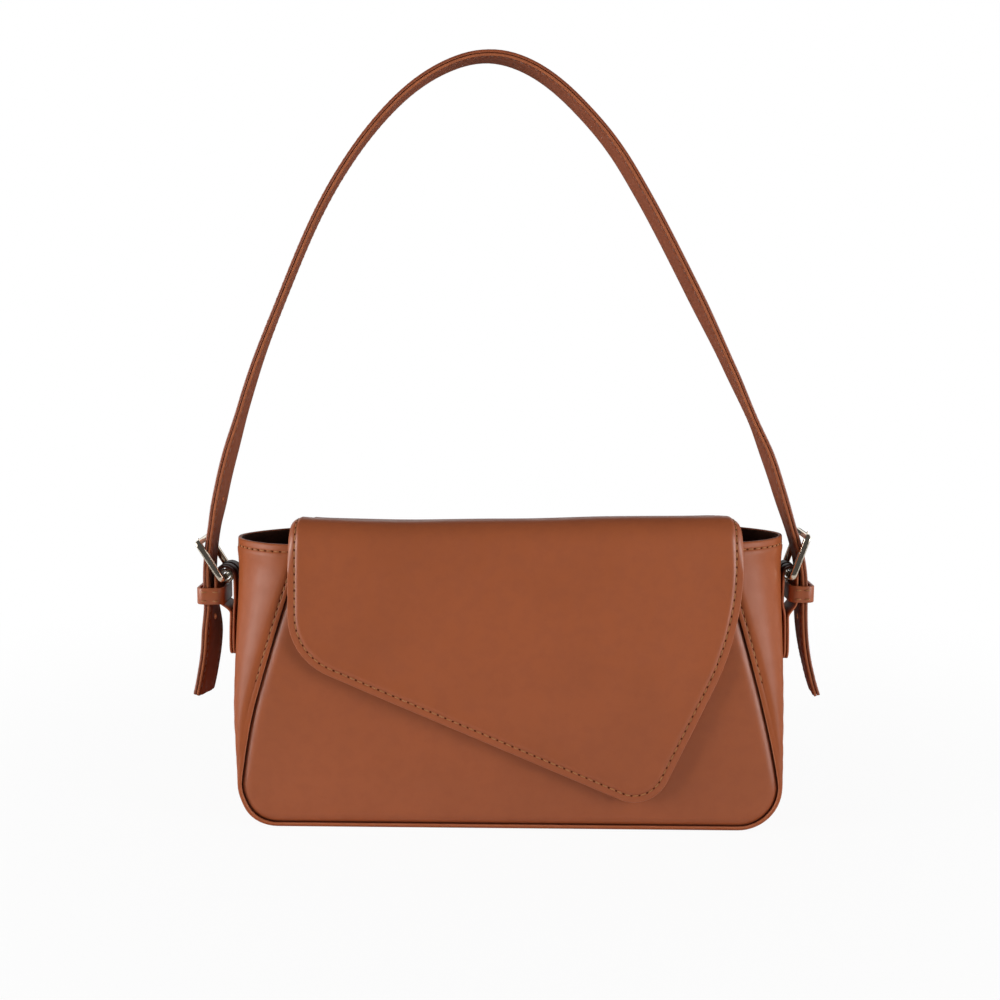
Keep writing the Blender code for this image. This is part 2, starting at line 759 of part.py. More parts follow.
class Side:
    """Where each piece of one side's tab, buckle, keeper and strap end stands, in (outward, up)."""

    def __init__(self, values):
        self.values = values
        self.sign = values["sign"]
        self.inner_leg = side_wall(values["tab_loop_height"]) + values["tab_standoff"] + TAB_LEATHER / 2
        self.outer_leg = self.inner_leg + values["tab_loop_width"]
        self.along = Vector((math.sin(values["frame_tilt"]), math.cos(values["frame_tilt"])))
        self.outward = Vector((self.along.y, -self.along.x))
        self.heel = Vector((self.outer_leg - values["heel_inset"], values["heel_height"]))
        self.top_bar = self.heel + self.along * (FRAME_LENGTH - FRAME_BAR)
        self.strap = self.outer_leg + TAB_LEATHER / 2 + values["strap_clearance"] + STRAP_THICKNESS / 2

    def point(self, spot, y=0.0):
        return Vector((self.sign * spot[0], y, spot[1]))

    def prong_line(self):
        """The straight part of the prong, from beside the heel bar to its tip past the top bar."""
        rest = FRAME_THICKNESS / 2 + FIT_GAP + PRONG_RADIUS
        start = self.heel + self.outward * PRONG_RING_RADIUS
        end = self.top_bar + self.outward * rest + self.along * PRONG_TIP_BEYOND
        return start, end

    def tail_points(self):
        """The strap's tail, from its free end up to where the leg starts."""
        values = self.values
        drop = values["tail_straight"] - values["tail_end"]
        points = []
        for i in range(6):
            share = 1 - i / 5
            flare = values["tail_flare"] * share**2
            points.append(Vector((self.strap + flare, values["tail_straight"] - drop * share)))
        return points + [Vector((self.strap, values["strap_start"]))]

    def leg_points(self):
        reach = self.strap - self.sign * STRAP_APEX_X
        rise = STRAP_APEX_HEIGHT - self.values["strap_start"]
        start = self.values["strap_start"]
        return [Vector((self.strap - reach * a, start + rise * b)) for a, b in self.values["leg_shares"]]


def strap_route(left, right):
    """The strap's middle line in (x, z), from the left tail's end over the top to the right tail's end."""
    left_points = left.tail_points() + left.leg_points()
    right_points = right.tail_points() + right.leg_points()
    points = [Vector((left.sign * p.x, p.y)) for p in left_points]
    points.append(Vector((STRAP_APEX_X, STRAP_APEX_HEIGHT)))
    points += [Vector((right.sign * p.x, p.y)) for p in reversed(right_points)]
    return smooth_route(points, STRAP_ROUTE_STEP)


def make_strap(left, right, outer_leather, lining_leather, parts, cutters):
    route = strap_route(left, right)
    layers = (
        ("strap_outer", FIT_GAP / 2 + STRAP_LEATHER, outer_leather),
        ("strap_lining", -FIT_GAP / 2, lining_leather),
    )
    holes = [cutter for side in (left, right) for cutter in strap_cutters(side, route, cutters)]
    made = []
    for name, rise, material in layers:
        rows = []
        for spot in offset_route(route, rise):
            rows.append([Vector((spot.x, edge * STRAP_WIDTH, spot.y)) for edge in (-1 / 2, 1 / 2)])
        layer = add_sheet(name, rows, STRAP_LEATHER, material, parts, flip=True)
        for cutter in holes:
            cut(layer, cutter)
        made.append(layer)
    return made


def strap_cutters(side, route, cutters):
    """The prong's slot, and a punched hole one pitch above and one below it."""
    start, end = side.prong_line()
    name = "left" if side.sign < 0 else "right"
    slot_radius = PRONG_RADIUS + PRONG_HOLE_CLEARANCE
    slot = cylinder_between(
        name + "_prong_slot",
        side.point(start),
        side.point(end),
        slot_radius,
        None,
        cutters,
    )
    made = [slot]
    middle = (start.y + end.y) / 2
    for label, height in (("upper", middle + STRAP_HOLE_PITCH), ("lower", middle - STRAP_HOLE_PITCH)):
        near = [(a, b) for a, b in zip(route, route[1:]) if a.x * side.sign > 0]
        a, b = min(near, key=lambda pair: abs((pair[0].y + pair[1].y) / 2 - height))
        travel = (b - a).normalized()
        way = Vector((-travel.y, 0.0, travel.x)) * (STRAP_THICKNESS / 2 + CUT_OVERRUN)
        centre = Vector((a.x + b.x, 0.0, a.y + b.y)) / 2
        hole = f"{name}_{label}_hole"
        made.append(cylinder_between(hole, centre - way, centre + way, STRAP_HOLE_RADIUS, None, cutters))
    return made


def tab_leg(sewn, reach):
    """One leg of a tab from its foot up: flat on the side, then easing out to its reach at the loop."""
    points = []
    for i in range(3):
        height = TAB_FOOT_HEIGHT + (TAB_PART_HEIGHT - TAB_FOOT_HEIGHT) * i / 3
        points.append(Vector((side_wall(height) + sewn, height)))
    for i in range(ARC_STEPS + 1):
        share = i / ARC_STEPS
        ease = share * share * (3 - 2 * share)
        low = side_wall(TAB_PART_HEIGHT) + sewn
        points.append(Vector((low + (reach - low) * ease, TAB_PART_HEIGHT + TAB_LEG_RISE * share)))
    return points


def make_tab(name, side, material, parts, cutters):
    """A strip with its two ends side by side on the gusset, folded round the heel bar at its top."""
    loop_radius = side.values["tab_loop_width"] / 2
    loop_z = side.values["tab_loop_height"]
    sewn_inner = FIT_GAP + TAB_LEATHER / 2
    sewn_outer = sewn_inner + TAB_LEATHER + FIT_GAP
    middle = (side.inner_leg + side.outer_leg) / 2
    inner = tab_leg(sewn_inner, side.inner_leg)
    outer = tab_leg(sewn_outer, side.outer_leg)
    fold = []
    for i in range(2 * ARC_STEPS + 1):
        angle = math.pi * (1 - i / (2 * ARC_STEPS))
        fold.append(Vector((middle + loop_radius * math.cos(angle), loop_z + loop_radius * math.sin(angle))))
    route = [Vector((side.sign * p.x, p.y)) for p in inner + fold + outer[::-1]]
    outline = band_outline(route, -TAB_LEATHER / 2, TAB_LEATHER / 2)
    tab = flat_outline(name, [outline], TAB_WIDTH / 2, UPRIGHT, material, parts)
    slot_low = side.heel.y - PRONG_RING_RADIUS - PRONG_RADIUS - FIT_GAP
    slot_high = loop_z + loop_radius + TAB_LEATHER
    xs = sorted((side.sign * (side.inner_leg - TAB_LEATHER), side.sign * (side.outer_leg + TAB_LEATHER)))
    slot = box_between(
        name + "_slot",
        (xs[0], -TAB_SLOT_HALF_WIDTH, slot_low),
        (xs[1], TAB_SLOT_HALF_WIDTH, slot_high),
        None,
        cutters,
    )
    cut(tab, slot)
    return tab


def make_frame(name, side, material, parts):
    """A flat rectangular ring in the buckle's tilted plane."""
    inner_half = STRAP_WIDTH / 2 + FRAME_STRAP_CLEARANCE
    outer = rounded_rectangle(FRAME_LENGTH / 2, inner_half + FRAME_SIDE_BAR, FRAME_CORNER_RADIUS, 3)
    inner = rounded_rectangle(FRAME_LENGTH / 2 - FRAME_BAR, inner_half, FRAME_INNER_RADIUS, 2)
    centre = (side.heel + side.top_bar) / 2
    along = side.point(side.along)
    across = Vector((0.0, 1.0, 0.0))
    facing = along.cross(across)
    turn = Matrix((along, across, facing)).transposed().to_4x4()
    place = Matrix.Translation(side.point(centre)) @ turn
    frame = flat_outline(name, [outer, inner], FRAME_THICKNESS / 2, place, material, parts)
    bevel = frame.modifiers.new("Edges", "BEVEL")
    bevel.width = FRAME_EDGE
    bevel.segments = 1
    bevel.limit_method = "ANGLE"
    return frame


def make_prong(name, side, material, parts):
    """A wire that wraps the heel bar, then runs straight up to rest on the top bar's outer side."""
    start, end = side.prong_line()
    points = []
    steps = 3 * ARC_STEPS
    for i in range(steps):
        angle = 2 * math.pi * PRONG_RING_START_SHARE * (1 - i / steps)
        turn = side.outward * math.cos(angle) - side.along * math.sin(angle)
        points.append(side.heel + turn * PRONG_RING_RADIUS)
    points += [start, end]
    curve = bpy.data.curves.new(name, "CURVE")
    curve.dimensions = "3D"
    curve.bevel_depth = PRONG_RADIUS
    curve.bevel_resolution = 2
    curve.use_fill_caps = True
    spline = curve.splines.new("POLY")
    spline.points.add(len(points) - 1)
    for point, spot in zip(spline.points, points):
        point.co = (*side.point(spot), 1.0)
    curve.materials.append(material)
    prong = bpy.data.objects.new(name, curve)
    parts.objects.link(prong)
    return prong


def make_keeper(name, side, material, parts):
    values = side.values
    inner_edge = side.outer_leg - TAB_LEATHER / 2 - values["keeper_inner_room"]
    outer_edge = side.strap + STRAP_THICKNESS / 2 + KEEPER_OUTER_ROOM
    half_x = (outer_edge - inner_edge) / 2
    half_y = STRAP_WIDTH / 2 + KEEPER_WIDTH_CLEARANCE
    inner = rounded_rectangle(half_x, half_y, KEEPER_CORNER_RADIUS - KEEPER_LEATHER, 2)
    outer = rounded_rectangle(half_x + KEEPER_LEATHER, half_y + KEEPER_LEATHER, KEEPER_CORNER_RADIUS, 3)
    centre = side.point(((inner_edge + outer_edge) / 2, values["keeper_height"]))
    return flat_outline(name, [outer, inner], KEEPER_HEIGHT / 2, Matrix.Translation(centre), material, parts)


def main():
    clear_scene()
    parts = new_collection("leather_shoulder_bag")
    cutters = new_collection("cutters")
    tan = new_material("tan_leather", (0.335, 0.095, 0.040), 0.42)
    dark = new_material("dark_lining", (0.022, 0.008, 0.006), 0.75)
    mauve = new_material("strap_underside", (0.075, 0.026, 0.026), 0.6)
    board = new_material("grey_board", (0.25, 0.23, 0.20), 0.9)
    gold = new_material("pale_gold_metal", (0.86, 0.76, 0.62), 0.18, 1.0)
    steel = new_material("snap_metal", (0.70, 0.66, 0.58), 0.25, 1.0)

    front_panel = make_panel("front_panel", -1, tan, parts)
    make_panel("back_panel", 1, tan, parts)
    make_gusset("left_gusset", -1, tan, parts)
    make_gusset("right_gusset", 1, tan, parts)
    make_base_panel(tan, parts)
    make_lining(dark, parts)
    make_base_board(board, parts)
    make_sewn_edge(tan, parts)

    flap_outer = make_flap_layer("flap_outer", 0.0, FLAP_LEATHER, tan, parts)
    flap_lining = make_flap_layer("flap_lining", FLAP_LEATHER + FIT_GAP, FLAP_LINING, dark, parts)
    _, _, stud, stud_washer = make_snap(steel, front_panel, flap_outer, flap_lining, parts, cutters)
    hinge_y, hinge_z = hinge_line()
    flap_axis = axis_empty("flap_hinge_axis", (0.0, hinge_y, hinge_z), parts)
    carry(flap_axis, [flap_outer, flap_lining, stud, stud_washer])

    left = Side(SIDES["left"])
    right = Side(SIDES["right"])
    moving = make_strap(left, right, tan, mauve, parts, cutters)
    swing_height = (TAB_PART_HEIGHT + left.heel.y) / 2
    for name, side in (("left", left), ("right", right)):
        make_tab(name + "_tab", side, tan, parts, cutters)
        frame = make_frame(name + "_buckle_frame", side, gold, parts)
        prong = make_prong(name + "_buckle_prong", side, gold, parts)
        keeper = make_keeper(name + "_keeper", side, tan, parts)
        prong_axis = axis_empty(name + "_prong_axis", side.point(side.heel), parts)
        carry(prong_axis, [prong])
        moving += [frame, prong_axis, keeper]
    carry(axis_empty("strap_swing_axis", (0.0, 0.0, swing_height), parts), moving)


main()
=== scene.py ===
"""Looks of the leather shoulder bag: turned leather edges, sewn seams, lining, straps and polished buckles.

Metres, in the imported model's frame: +Z up, the bag's front faces -Y, and it stands on Z = 0.
"""

import math
from itertools import product

import bmesh
import bpy
import numpy as np
from mathutils import Matrix, Vector, noise


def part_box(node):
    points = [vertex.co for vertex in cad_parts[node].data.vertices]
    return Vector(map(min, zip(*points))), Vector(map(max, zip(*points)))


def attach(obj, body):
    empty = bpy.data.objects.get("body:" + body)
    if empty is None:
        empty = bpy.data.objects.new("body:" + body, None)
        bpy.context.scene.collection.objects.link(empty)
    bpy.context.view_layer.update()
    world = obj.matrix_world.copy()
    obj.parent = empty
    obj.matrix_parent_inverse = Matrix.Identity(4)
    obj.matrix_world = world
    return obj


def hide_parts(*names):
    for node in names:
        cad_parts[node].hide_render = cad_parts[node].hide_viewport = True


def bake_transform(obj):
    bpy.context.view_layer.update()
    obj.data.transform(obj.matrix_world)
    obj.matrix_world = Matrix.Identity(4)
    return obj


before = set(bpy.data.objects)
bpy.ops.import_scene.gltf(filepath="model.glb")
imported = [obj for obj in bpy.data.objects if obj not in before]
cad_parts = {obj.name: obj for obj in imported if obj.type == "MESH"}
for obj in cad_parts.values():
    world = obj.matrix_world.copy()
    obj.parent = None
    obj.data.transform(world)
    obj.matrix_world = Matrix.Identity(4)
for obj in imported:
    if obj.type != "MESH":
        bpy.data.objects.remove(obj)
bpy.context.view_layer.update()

# Body, as in the model
BODY_HALF_WIDTH = 0.1313
MOUTH_HALF_WIDTH = 0.131
RIM_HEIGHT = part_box("left_gusset")[1].z
BASE_HALF_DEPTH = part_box("base_panel")[1].y
MOUTH_HALF_DEPTH = 0.030
BOTTOM_RADIUS = 0.021
CORNER_X = BODY_HALF_WIDTH - BOTTOM_RADIUS
LEATHER = 0.0016
WING_TOP_INSET = 0.0335
WING_CURVE_SHARE = 1.22
SIDE_TOP_RADIUS = 0.029
SEWN_WING = 0.0124
MOUTH_PINCH = {-1: 0.5, 1: 0.9}
MOUTH_PINCH_EASE = 0.016
MOUTH_OVAL = 1.5
MOUTH_NOSE = 0.0028
SIDE_SWELL = 0.0010
RIGHT_RISE = 0.0030
LEFT_DRAW = 0.0018
LEFT_DRAW_SIDE = (-0.08, 0.04)
LEFT_DRAW_FOOT = 0.014
LEFT_DRAW_FADE = (0.02, 0.04)
RIGHT_RISE_SIDE = (-0.05, 0.19)
SIDE_LOW_RADIUS = 0.0022
SIDE_CURVE_SHARE = 1.8
SIDE_CROWN = 0.0025
SIDE_LENGTH = RIM_HEIGHT - BOTTOM_RADIUS
FRONT_SLOPE = math.atan((BASE_HALF_DEPTH - MOUTH_HALF_DEPTH) / SIDE_LENGTH)

# The seam between gusset and panels, drawn finer at the bottom than in the model
SEAM_LOW_INSET = 0.0021
PANEL_STEP = 0.0019
PANEL_TUCK = 0.006
PANEL_PUFF = 0.0017
PANEL_PUFF_REACH = 0.0035
PANEL_DARK_REACH = 0.0009
PANEL_EDGE_DROP = 0.0004
PANEL_EDGE_REACH = 0.001
PANEL_SINK = 0.0005
PANEL_SINK_REACH = 0.05
PANEL_WAVE = 0.0004
PANEL_WAVE_REACH = 0.02
PANEL_LEAST_TUCK = 0.0013
SNAP_X = 0.020
SNAP_HEIGHT = 0.062
SNAP_DIMPLE = 0.018

# Flap
FLAP_LEFT = -0.1044
FLAP_RIGHT = 0.1099
FLAP_LEATHER = 0.0015
FLAP_LINING = 0.0009
FLAP_TOP = 0.1482
FLAP_FRONT_STAND = 0.0053
FLAP_FRONT_RADIUS = 0.013
FLAP_BACK_RADIUS = 0.004
FLAP_BACK_RISE = 0.0015
FLAP_FOLD_EASE = 0.005
FLAP_ROUTE_STEP = 0.0008
FLAP_TOP_SAG = 0.0018
FLAP_LEFT_ROUND = (0.0058, 0.0045)
FLAP_RIGHT_ROUND = (0.0105, 0.0062)
FLAP_FOOT_HEIGHT = 0.1125
FLAP_FOOT_CORNER = 0.010
FLAP_LEFT_CORNER = (0.0831, 0.0305)
FLAP_TIP = (0.0681, 0.0107, 0.0174)
FLAP_RIGHT_CORNER = (0.0952, 0.1285)
FLAP_BACK_Y = 0.0311
WING_STEP = 0.0019
WING_SPAN = (0.086, 0.009)
WING_RIM_REACH = 0.008
FLAP_WAVE = 0.0005
FLAP_TOP_REACH = 0.02
FLAP_FOLD_RUN = 0.085
FLAP_FOLD_REACH = 0.03
FLAP_END_OUT = 0.0004
FLAP_HOLLOW = 0.0007
FLAP_HOLLOW_X = -0.06
FLAP_HOLLOW_REACH = 0.06

# Sewing
STITCH_PITCH = 0.00383
STITCH_HALF_LENGTH = 0.00135
THREAD_RADIUS = 0.0003
FLAP_STITCH_INSET = 0.0034
GUSSET_STITCH_INSET = 0.0024
RIM_STITCH_INSET = 0.0035
STRAP_STITCH_INSET = 0.0022
GROOVE_DEPTH = 0.00026
GROOVE_WIDTH = 0.00042
THREAD_SINK = GROOVE_DEPTH * 0.7
STRAP_THREAD_SINK = GROOVE_DEPTH * 0.5
EDGE_ROLL = 0.00018
EDGE_ROLL_REACH = 0.0006
SEAM_PUFF = 0.0005
SEAM_PUFF_REACH = 0.0020
SEAM_PUFF_FADE = 0.005

# Strap, tabs, keepers and buckles
STRAP_WIDTH = 0.020
STRAP_LEATHER = 0.0014
STRAP_SEAM = 0.0002
STRAP_THICKNESS = 0.0029
STRAP_APEX = (-0.0115, 0.36615)
STRAP_LEFT_TWISTS = ((0.086, -12), (0.105, 0), (0.138, 0), (0.153, -4), (0.175, -4.5), (0.200, 0), (0.250, 4))
STRAP_RIGHT_TWISTS = (
    (0.070, -3), (0.102, 0), (0.138, 0), (0.160, 3.5), (0.176, 4.5), (0.195, -1), (0.220, 3.5), (0.255, 9),
)
STRAP_FREE_HEIGHT = 0.125
STRAP_END_ROUND = 0.0012
STRAP_LEAN = 0.0011
STRAP_LEAN_SPAN = (0.20, 0.12)
STRAP_APEX_RISE = 0.0005
STRAP_ROUTE_STEP = 0.002
STRAP_EASE = 0.012
STRAP_HOLE_RADIUS = 0.0016
STRAP_HOLE_PITCH = 0.030
STRAP_HOLE_CUT = 0.004
TAIL_TOP = 0.104
TAIL_TUCK_TOP = 0.105
TAIL_TUCK_REACH = 0.019
TAB_WIDTH = 0.018
TAB_LEATHER = 0.0012
TAB_STAND = 0.0009
TAB_FOOT_HEIGHT = 0.077
TAB_PART_HEIGHT = 0.0985
TAB_LEG_RISE = 0.0075
TAB_SLOT = 0.003
TAB_END_ROUND = 0.005
FOLD_SHADE_REACH = 1.6
FRAME_LENGTH = 0.024
FRAME_BAR = 0.0028
FRAME_SIDE_BAR = 0.0025
FRAME_THICKNESS = 0.0023
FRAME_SIDE_EXTRA = 0.0008
FRAME_EDGE = 0.0007
FRAME_CORNER = 0.0016
FRAME_CLEARANCE = 0.0005
PRONG_RADIUS = 0.0009
PRONG_RING_RADIUS = 0.0028
PRONG_TIP_BEYOND = 0.0018
PRONG_OPENING = 0.0024
PRONG_WRAP = 0.78
PRONG_BEND = 0.00035
SLOT_CLEARANCE = 0.0009
KEEPER_LEATHER = 0.0014
KEEPER_HEIGHT = 0.0082
KEEPER_OUTER_ROOM = 0.0017
KEEPER_CORNER = 0.0031
KEEPER_BOW = 0.0007
KEEPER_EDGE = 0.00045
KEEPER_THREAD_INSET = 0.0032
KEEPER_THREAD_RISE = 0.0022
KEEPER_ROOM = 0.001
GAP = 0.0003

LEFT_LEG_SHARES = (
    (0.018, 0.062), (0.064, 0.184), (0.106, 0.264), (0.149, 0.344), (0.198, 0.423), (0.256, 0.501),
    (0.316, 0.580), (0.377, 0.657), (0.448, 0.734), (0.534, 0.810), (0.640, 0.885), (0.792, 0.960),
)
RIGHT_LEG_SHARES = (
    (0.012, 0.035), (0.039, 0.082), (0.081, 0.162), (0.125, 0.241), (0.182, 0.319), (0.240, 0.397),
    (0.300, 0.475), (0.361, 0.551), (0.423, 0.627), (0.487, 0.703), (0.557, 0.778), (0.639, 0.853),
    (0.819, 0.962),
)
LEFT_SIZES = dict(
    sign=-1, tab_standoff=0.0020, tab_loop_width=0.0094, tab_loop_height=0.1167, heel_inset=0.0038,
    heel_height=0.1154, frame_tilt=math.radians(32), strap_clearance=0.0021, strap_start=0.124,
    keeper_height=0.1072, keeper_inner_room=0.0026, tail_end=0.0563, tail_flare=0.0062, tail_tuck=0.0019,
    leg_shares=LEFT_LEG_SHARES,
)
RIGHT_SIZES = dict(
    sign=1, tab_standoff=0.0015, tab_loop_width=0.0068, tab_loop_height=0.1202, heel_inset=0.0031,
    heel_height=0.1187, frame_tilt=math.radians(18.6), strap_clearance=0.0013, strap_start=0.121,
    keeper_height=0.1106, keeper_inner_room=0.0020, tail_end=0.0594, tail_flare=0.0084, tail_tuck=0.0,
    leg_shares=RIGHT_LEG_SHARES,
)

# The photograph's viewpoint
CAMERA_PLACE = (0.0, -0.667, 0.2396)
CAMERA_PITCH = math.radians(7.285)
CAMERA_YAW = math.radians(0.421)
CAMERA_ROLL = math.radians(0.4)
CAMERA_LENS = 49.16
CAMERA_SENSOR = 36.0


def held(share):
    return min(1.0, max(0.0, share))


def smooth(share):
    """An ease from 0 to 1, held outside."""
    share = held(share)
    return share * share * (3 - 2 * share)


def ramp(value, start, reach):
    return smooth((value - start) / reach)


def shares(count):
    """Even steps from 0 to 1."""
    return [i / count for i in range(count + 1)]


def between(marks, place):
    """The value at a place, eased between (place, value) marks and held beyond the outer ones."""
    if place <= marks[0][0]:
        return marks[0][1]
    for (low, before), (high, after) in zip(marks, marks[1:]):
        if place < high:
            return before + (after - before) * smooth((place - low) / (high - low))
    return marks[-1][1]


# Mesh helpers

UNSEWN = (0.5, 9.0)
UNSEEN = 0.02
SHARP_ANGLE = 38
STITCH_SHAPE = ((-1.0, 0.45, -0.9), (-0.78, 0.95, -0.15), (0.0, 1.05, 0.28), (0.78, 0.95, -0.15), (1.0, 0.45, -0.9))
STITCH_SIDES = 6


def add_object(name, data):
    obj = bpy.data.objects.new(name, data)
    bpy.context.scene.collection.objects.link(obj)
    return obj


def shade(mesh, sharp=SHARP_ANGLE):
    mesh.shade_smooth()
    mesh.set_sharp_from_angle(angle=math.radians(sharp))


def new_piece(name, points, faces, material, seam=None, rim=None, wrap=None, sharp=SHARP_ANGLE):
    """A closed mesh. seam and rim are (stitches along an edge, distance from it in stitch insets) for each point."""
    mesh = bpy.data.meshes.new(name)
    mesh.from_pydata([tuple(p) for p in points], [], faces)
    mesh.materials.append(material)
    index = np.empty(len(mesh.loops), int)
    mesh.loops.foreach_get("vertex_index", index)
    for label, values in (("seam", seam), ("rim", rim)):
        flat = np.array(values or [UNSEWN] * len(points), np.float32)[index]
        if wrap and label == "seam":
            for polygon in mesh.polygons:
                span = list(polygon.loop_indices)
                if np.ptp(flat[span, 0]) > wrap / 2:
                    flat[span, 0] += np.where(flat[span, 0] < wrap / 2, wrap, 0)
        mesh.uv_layers.new(name=label).data.foreach_set("uv", flat.ravel())
    cage = bmesh.new()
    cage.from_mesh(mesh)
    bmesh.ops.recalc_face_normals(cage, faces=cage.faces)
    cage.to_mesh(mesh)
    cage.free()
    shade(mesh, sharp)
    return add_object(name, mesh)


def stand_for(piece, slot, body, *nodes):
    """Puts a piece in the place of the model's nodes, on one body."""
    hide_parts(*nodes)
    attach(piece, body)


def loft_faces(rings, count, closed=False, capped=True):
    """Quads between rings of count points, with flat ends unless the loft closes on itself."""
    faces = []
    for i in range(rings if closed else rings - 1):
        k = (i + 1) % rings
        for j in range(count):
            m = (j + 1) % count
            faces.append((i * count + j, i * count + m, k * count + m, k * count + j))
    if capped and not closed:
        faces += [tuple(range(count))[::-1], tuple(range((rings - 1) * count, rings * count))]
    return faces


def grid_faces(rows):
    """Quads between rows of point numbers."""
    return [(a, b, d, c) for high, low in zip(rows, rows[1:]) for a, b, c, d in zip(high, high[1:], low, low[1:])]


def loft(name, rings, material, closed=False, **settings):
    points = [p for ring in rings for p in ring]
    return new_piece(name, points, loft_faces(len(rings), len(rings[0]), closed), material, **settings)


def circle(centre, across, up, radius, count):
    turns = [2 * math.pi * k / count for k in range(count)]
    return [centre + across * math.cos(turn) * radius + up * math.sin(turn) * radius for turn in turns]


class Path:
    """A polyline with its running length, read at any distance along it."""

    def __init__(self, points, closed=False):
        self.points = [Vector(p) for p in points]
        if closed:
            self.points.append(self.points[0].copy())
        self.closed = closed
        self.at = [0.0]
        for a, b in zip(self.points, self.points[1:]):
            self.at.append(self.at[-1] + (b - a).length)
        self.length = self.at[-1]
        last = len(self.points) - 1
        self.travel = []
        for i in range(last + 1):
            before, after = [(k % last if closed else min(max(k, 0), last)) for k in (i - 1, i + 1)]
            self.travel.append((self.points[after] - self.points[before]).normalized())

    def read(self, distance):
        """(point, direction of travel) at a distance along it."""
        if self.closed:
            distance %= self.length
        distance = min(max(distance, 0.0), self.length)
        i = min(np.searchsorted(self.at, distance, side="right") - 1, len(self.points) - 2)
        share = (distance - self.at[i]) / (self.at[i + 1] - self.at[i])
        point = self.points[i].lerp(self.points[i + 1], share)
        return point, self.travel[i].lerp(self.travel[i + 1], share).normalized()

    def steps(self, step):
        count = max(2, round(self.length / step))
        return [self.length * share for share in shares(count)]

    def eased(self, reach, step):
        """The path with its bends eased in: each place is the mean of its surroundings, less so near both ends."""
        points = []
        for at in self.steps(step):
            room = min(reach, at, self.length - at)
            near = [self.read(at + room * share)[0] for share in (-1.0, -0.67, -0.33, 0.0, 0.33, 0.67, 1.0)]
            points.append(sum(near, Vector((0.0, 0.0))) / len(near))
        return Path(points)


def arc(before, corner, after, radius, steps):
    """Points of the arc that rounds one corner of a flat outline."""
    to_before = (before - corner).normalized()
    to_after = (after - corner).normalized()
    half_angle = to_before.angle(to_after) / 2
    centre = corner + (to_before + to_after).normalized() * radius / math.sin(half_angle)
    start, end = [corner + way * radius / math.tan(half_angle) - centre for way in (to_before, to_after)]
    sweep = start.angle_signed(end)
    return [centre + Matrix.Rotation(-sweep * share, 2) @ start for share in shares(steps)]


def smooth_route(points, step):
    """A Catmull-Rom curve through the points, read about every step."""
    ends = [2 * points[0] - points[1]] + points + [2 * points[-1] - points[-2]]
    route = []
    for a, b, c, d in zip(ends, ends[1:], ends[2:], ends[3:]):
        pieces = max(1, round((c - b).length / step))
        for t in shares(pieces)[:-1]:
            bend = (2 * a - 5 * b + 4 * c - d) * t * t + (3 * b - 3 * c + d - a) * t * t * t
            route.append(0.5 * (2 * b + (c - a) * t + bend))
    return route + [points[-1]]


def relief(distance, inset):
    """Height of sewn leather at a distance from its edge: a rolled edge, a stitch groove, then a puffed rise."""
    beyond = distance - inset
    groove = GROOVE_DEPTH * math.exp(-((beyond / GROOVE_WIDTH) ** 2))
    roll = EDGE_ROLL * math.exp(-distance / EDGE_ROLL_REACH)
    fade = math.exp(-max(0.0, beyond - SEAM_PUFF_REACH) / SEAM_PUFF_FADE)
    return SEAM_PUFF * smooth(beyond / SEAM_PUFF_REACH) * fade - groove - roll


def add_stitches(name, place, count, material, first=0, body=None):
    """Stitches along a seam. place(n) gives (point, travel, outward) at n stitches along it."""
    points, faces = [], []
    for n in range(first, first + count):
        point, travel, outward = place(n + 0.5)
        across = travel.cross(outward).normalized()
        base = len(points)
        for along, girth, rise in STITCH_SHAPE:
            centre = point + travel * along * STITCH_HALF_LENGTH + outward * rise * THREAD_RADIUS
            points += circle(centre, across, outward, THREAD_RADIUS * girth, STITCH_SIDES)
        faces += [tuple(base + v for v in face) for face in loft_faces(len(STITCH_SHAPE), STITCH_SIDES)]
    obj = new_piece(name, points, faces, material, sharp=80)
    if body:
        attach(obj, body)
    return obj


def solid(name, cage):
    mesh = bpy.data.meshes.new(name)
    cage.to_mesh(mesh)
    cage.free()
    return add_object(name, mesh)


def cylinder(name, start, end, radius):
    cage = bmesh.new()
    axis = end - start
    bmesh.ops.create_cone(cage, cap_ends=True, segments=28, radius1=radius, radius2=radius, depth=axis.length)
    turn = axis.to_track_quat("Z", "Y").to_matrix().to_4x4()
    cage.transform(Matrix.Translation((start + end) / 2) @ turn)
    return solid(name, cage)


def block(name, low, high):
    cage = bmesh.new()
    bmesh.ops.create_cube(cage, size=1.0)
    low, high = Vector(low), Vector(high)
    cage.transform(Matrix.Translation((high + low) / 2) @ Matrix.Diagonal((*(high - low), 1.0)))
    return solid(name, cage)


def cut(obj, cutters):
    """Cuts the cutters out of a piece and applies the result."""
    for cutter in cutters:
        boolean = obj.modifiers.new("Cut", "BOOLEAN")
        boolean.object = cutter
        boolean.operation = "DIFFERENCE"
        boolean.solver = "EXACT"
    bpy.context.view_layer.update()
    obj_after = obj.evaluated_get(bpy.context.evaluated_depsgraph_get())
    mesh = bpy.data.meshes.new_from_object(obj_after)
    obj.modifiers.clear()
    obj.data = mesh
    shade(mesh)


def corner_arcs(half_x, half_y, radius, steps):
    """Each round corner of a rectangle, anticlockwise: its two signs, and its (point, outward) pairs."""
    for quarter, (sx, sy) in enumerate([(1, -1), (1, 1), (-1, 1), (-1, -1)]):
        centre = Vector((sx * (half_x - radius), sy * (half_y - radius)))
        turns = [(quarter - 1 + share) * math.pi / 2 for share in shares(steps)]
        outs = [Vector((math.cos(turn), math.sin(turn))) for turn in turns]
        yield sx, sy, [(centre + out * radius, out) for out in outs]


# Materials

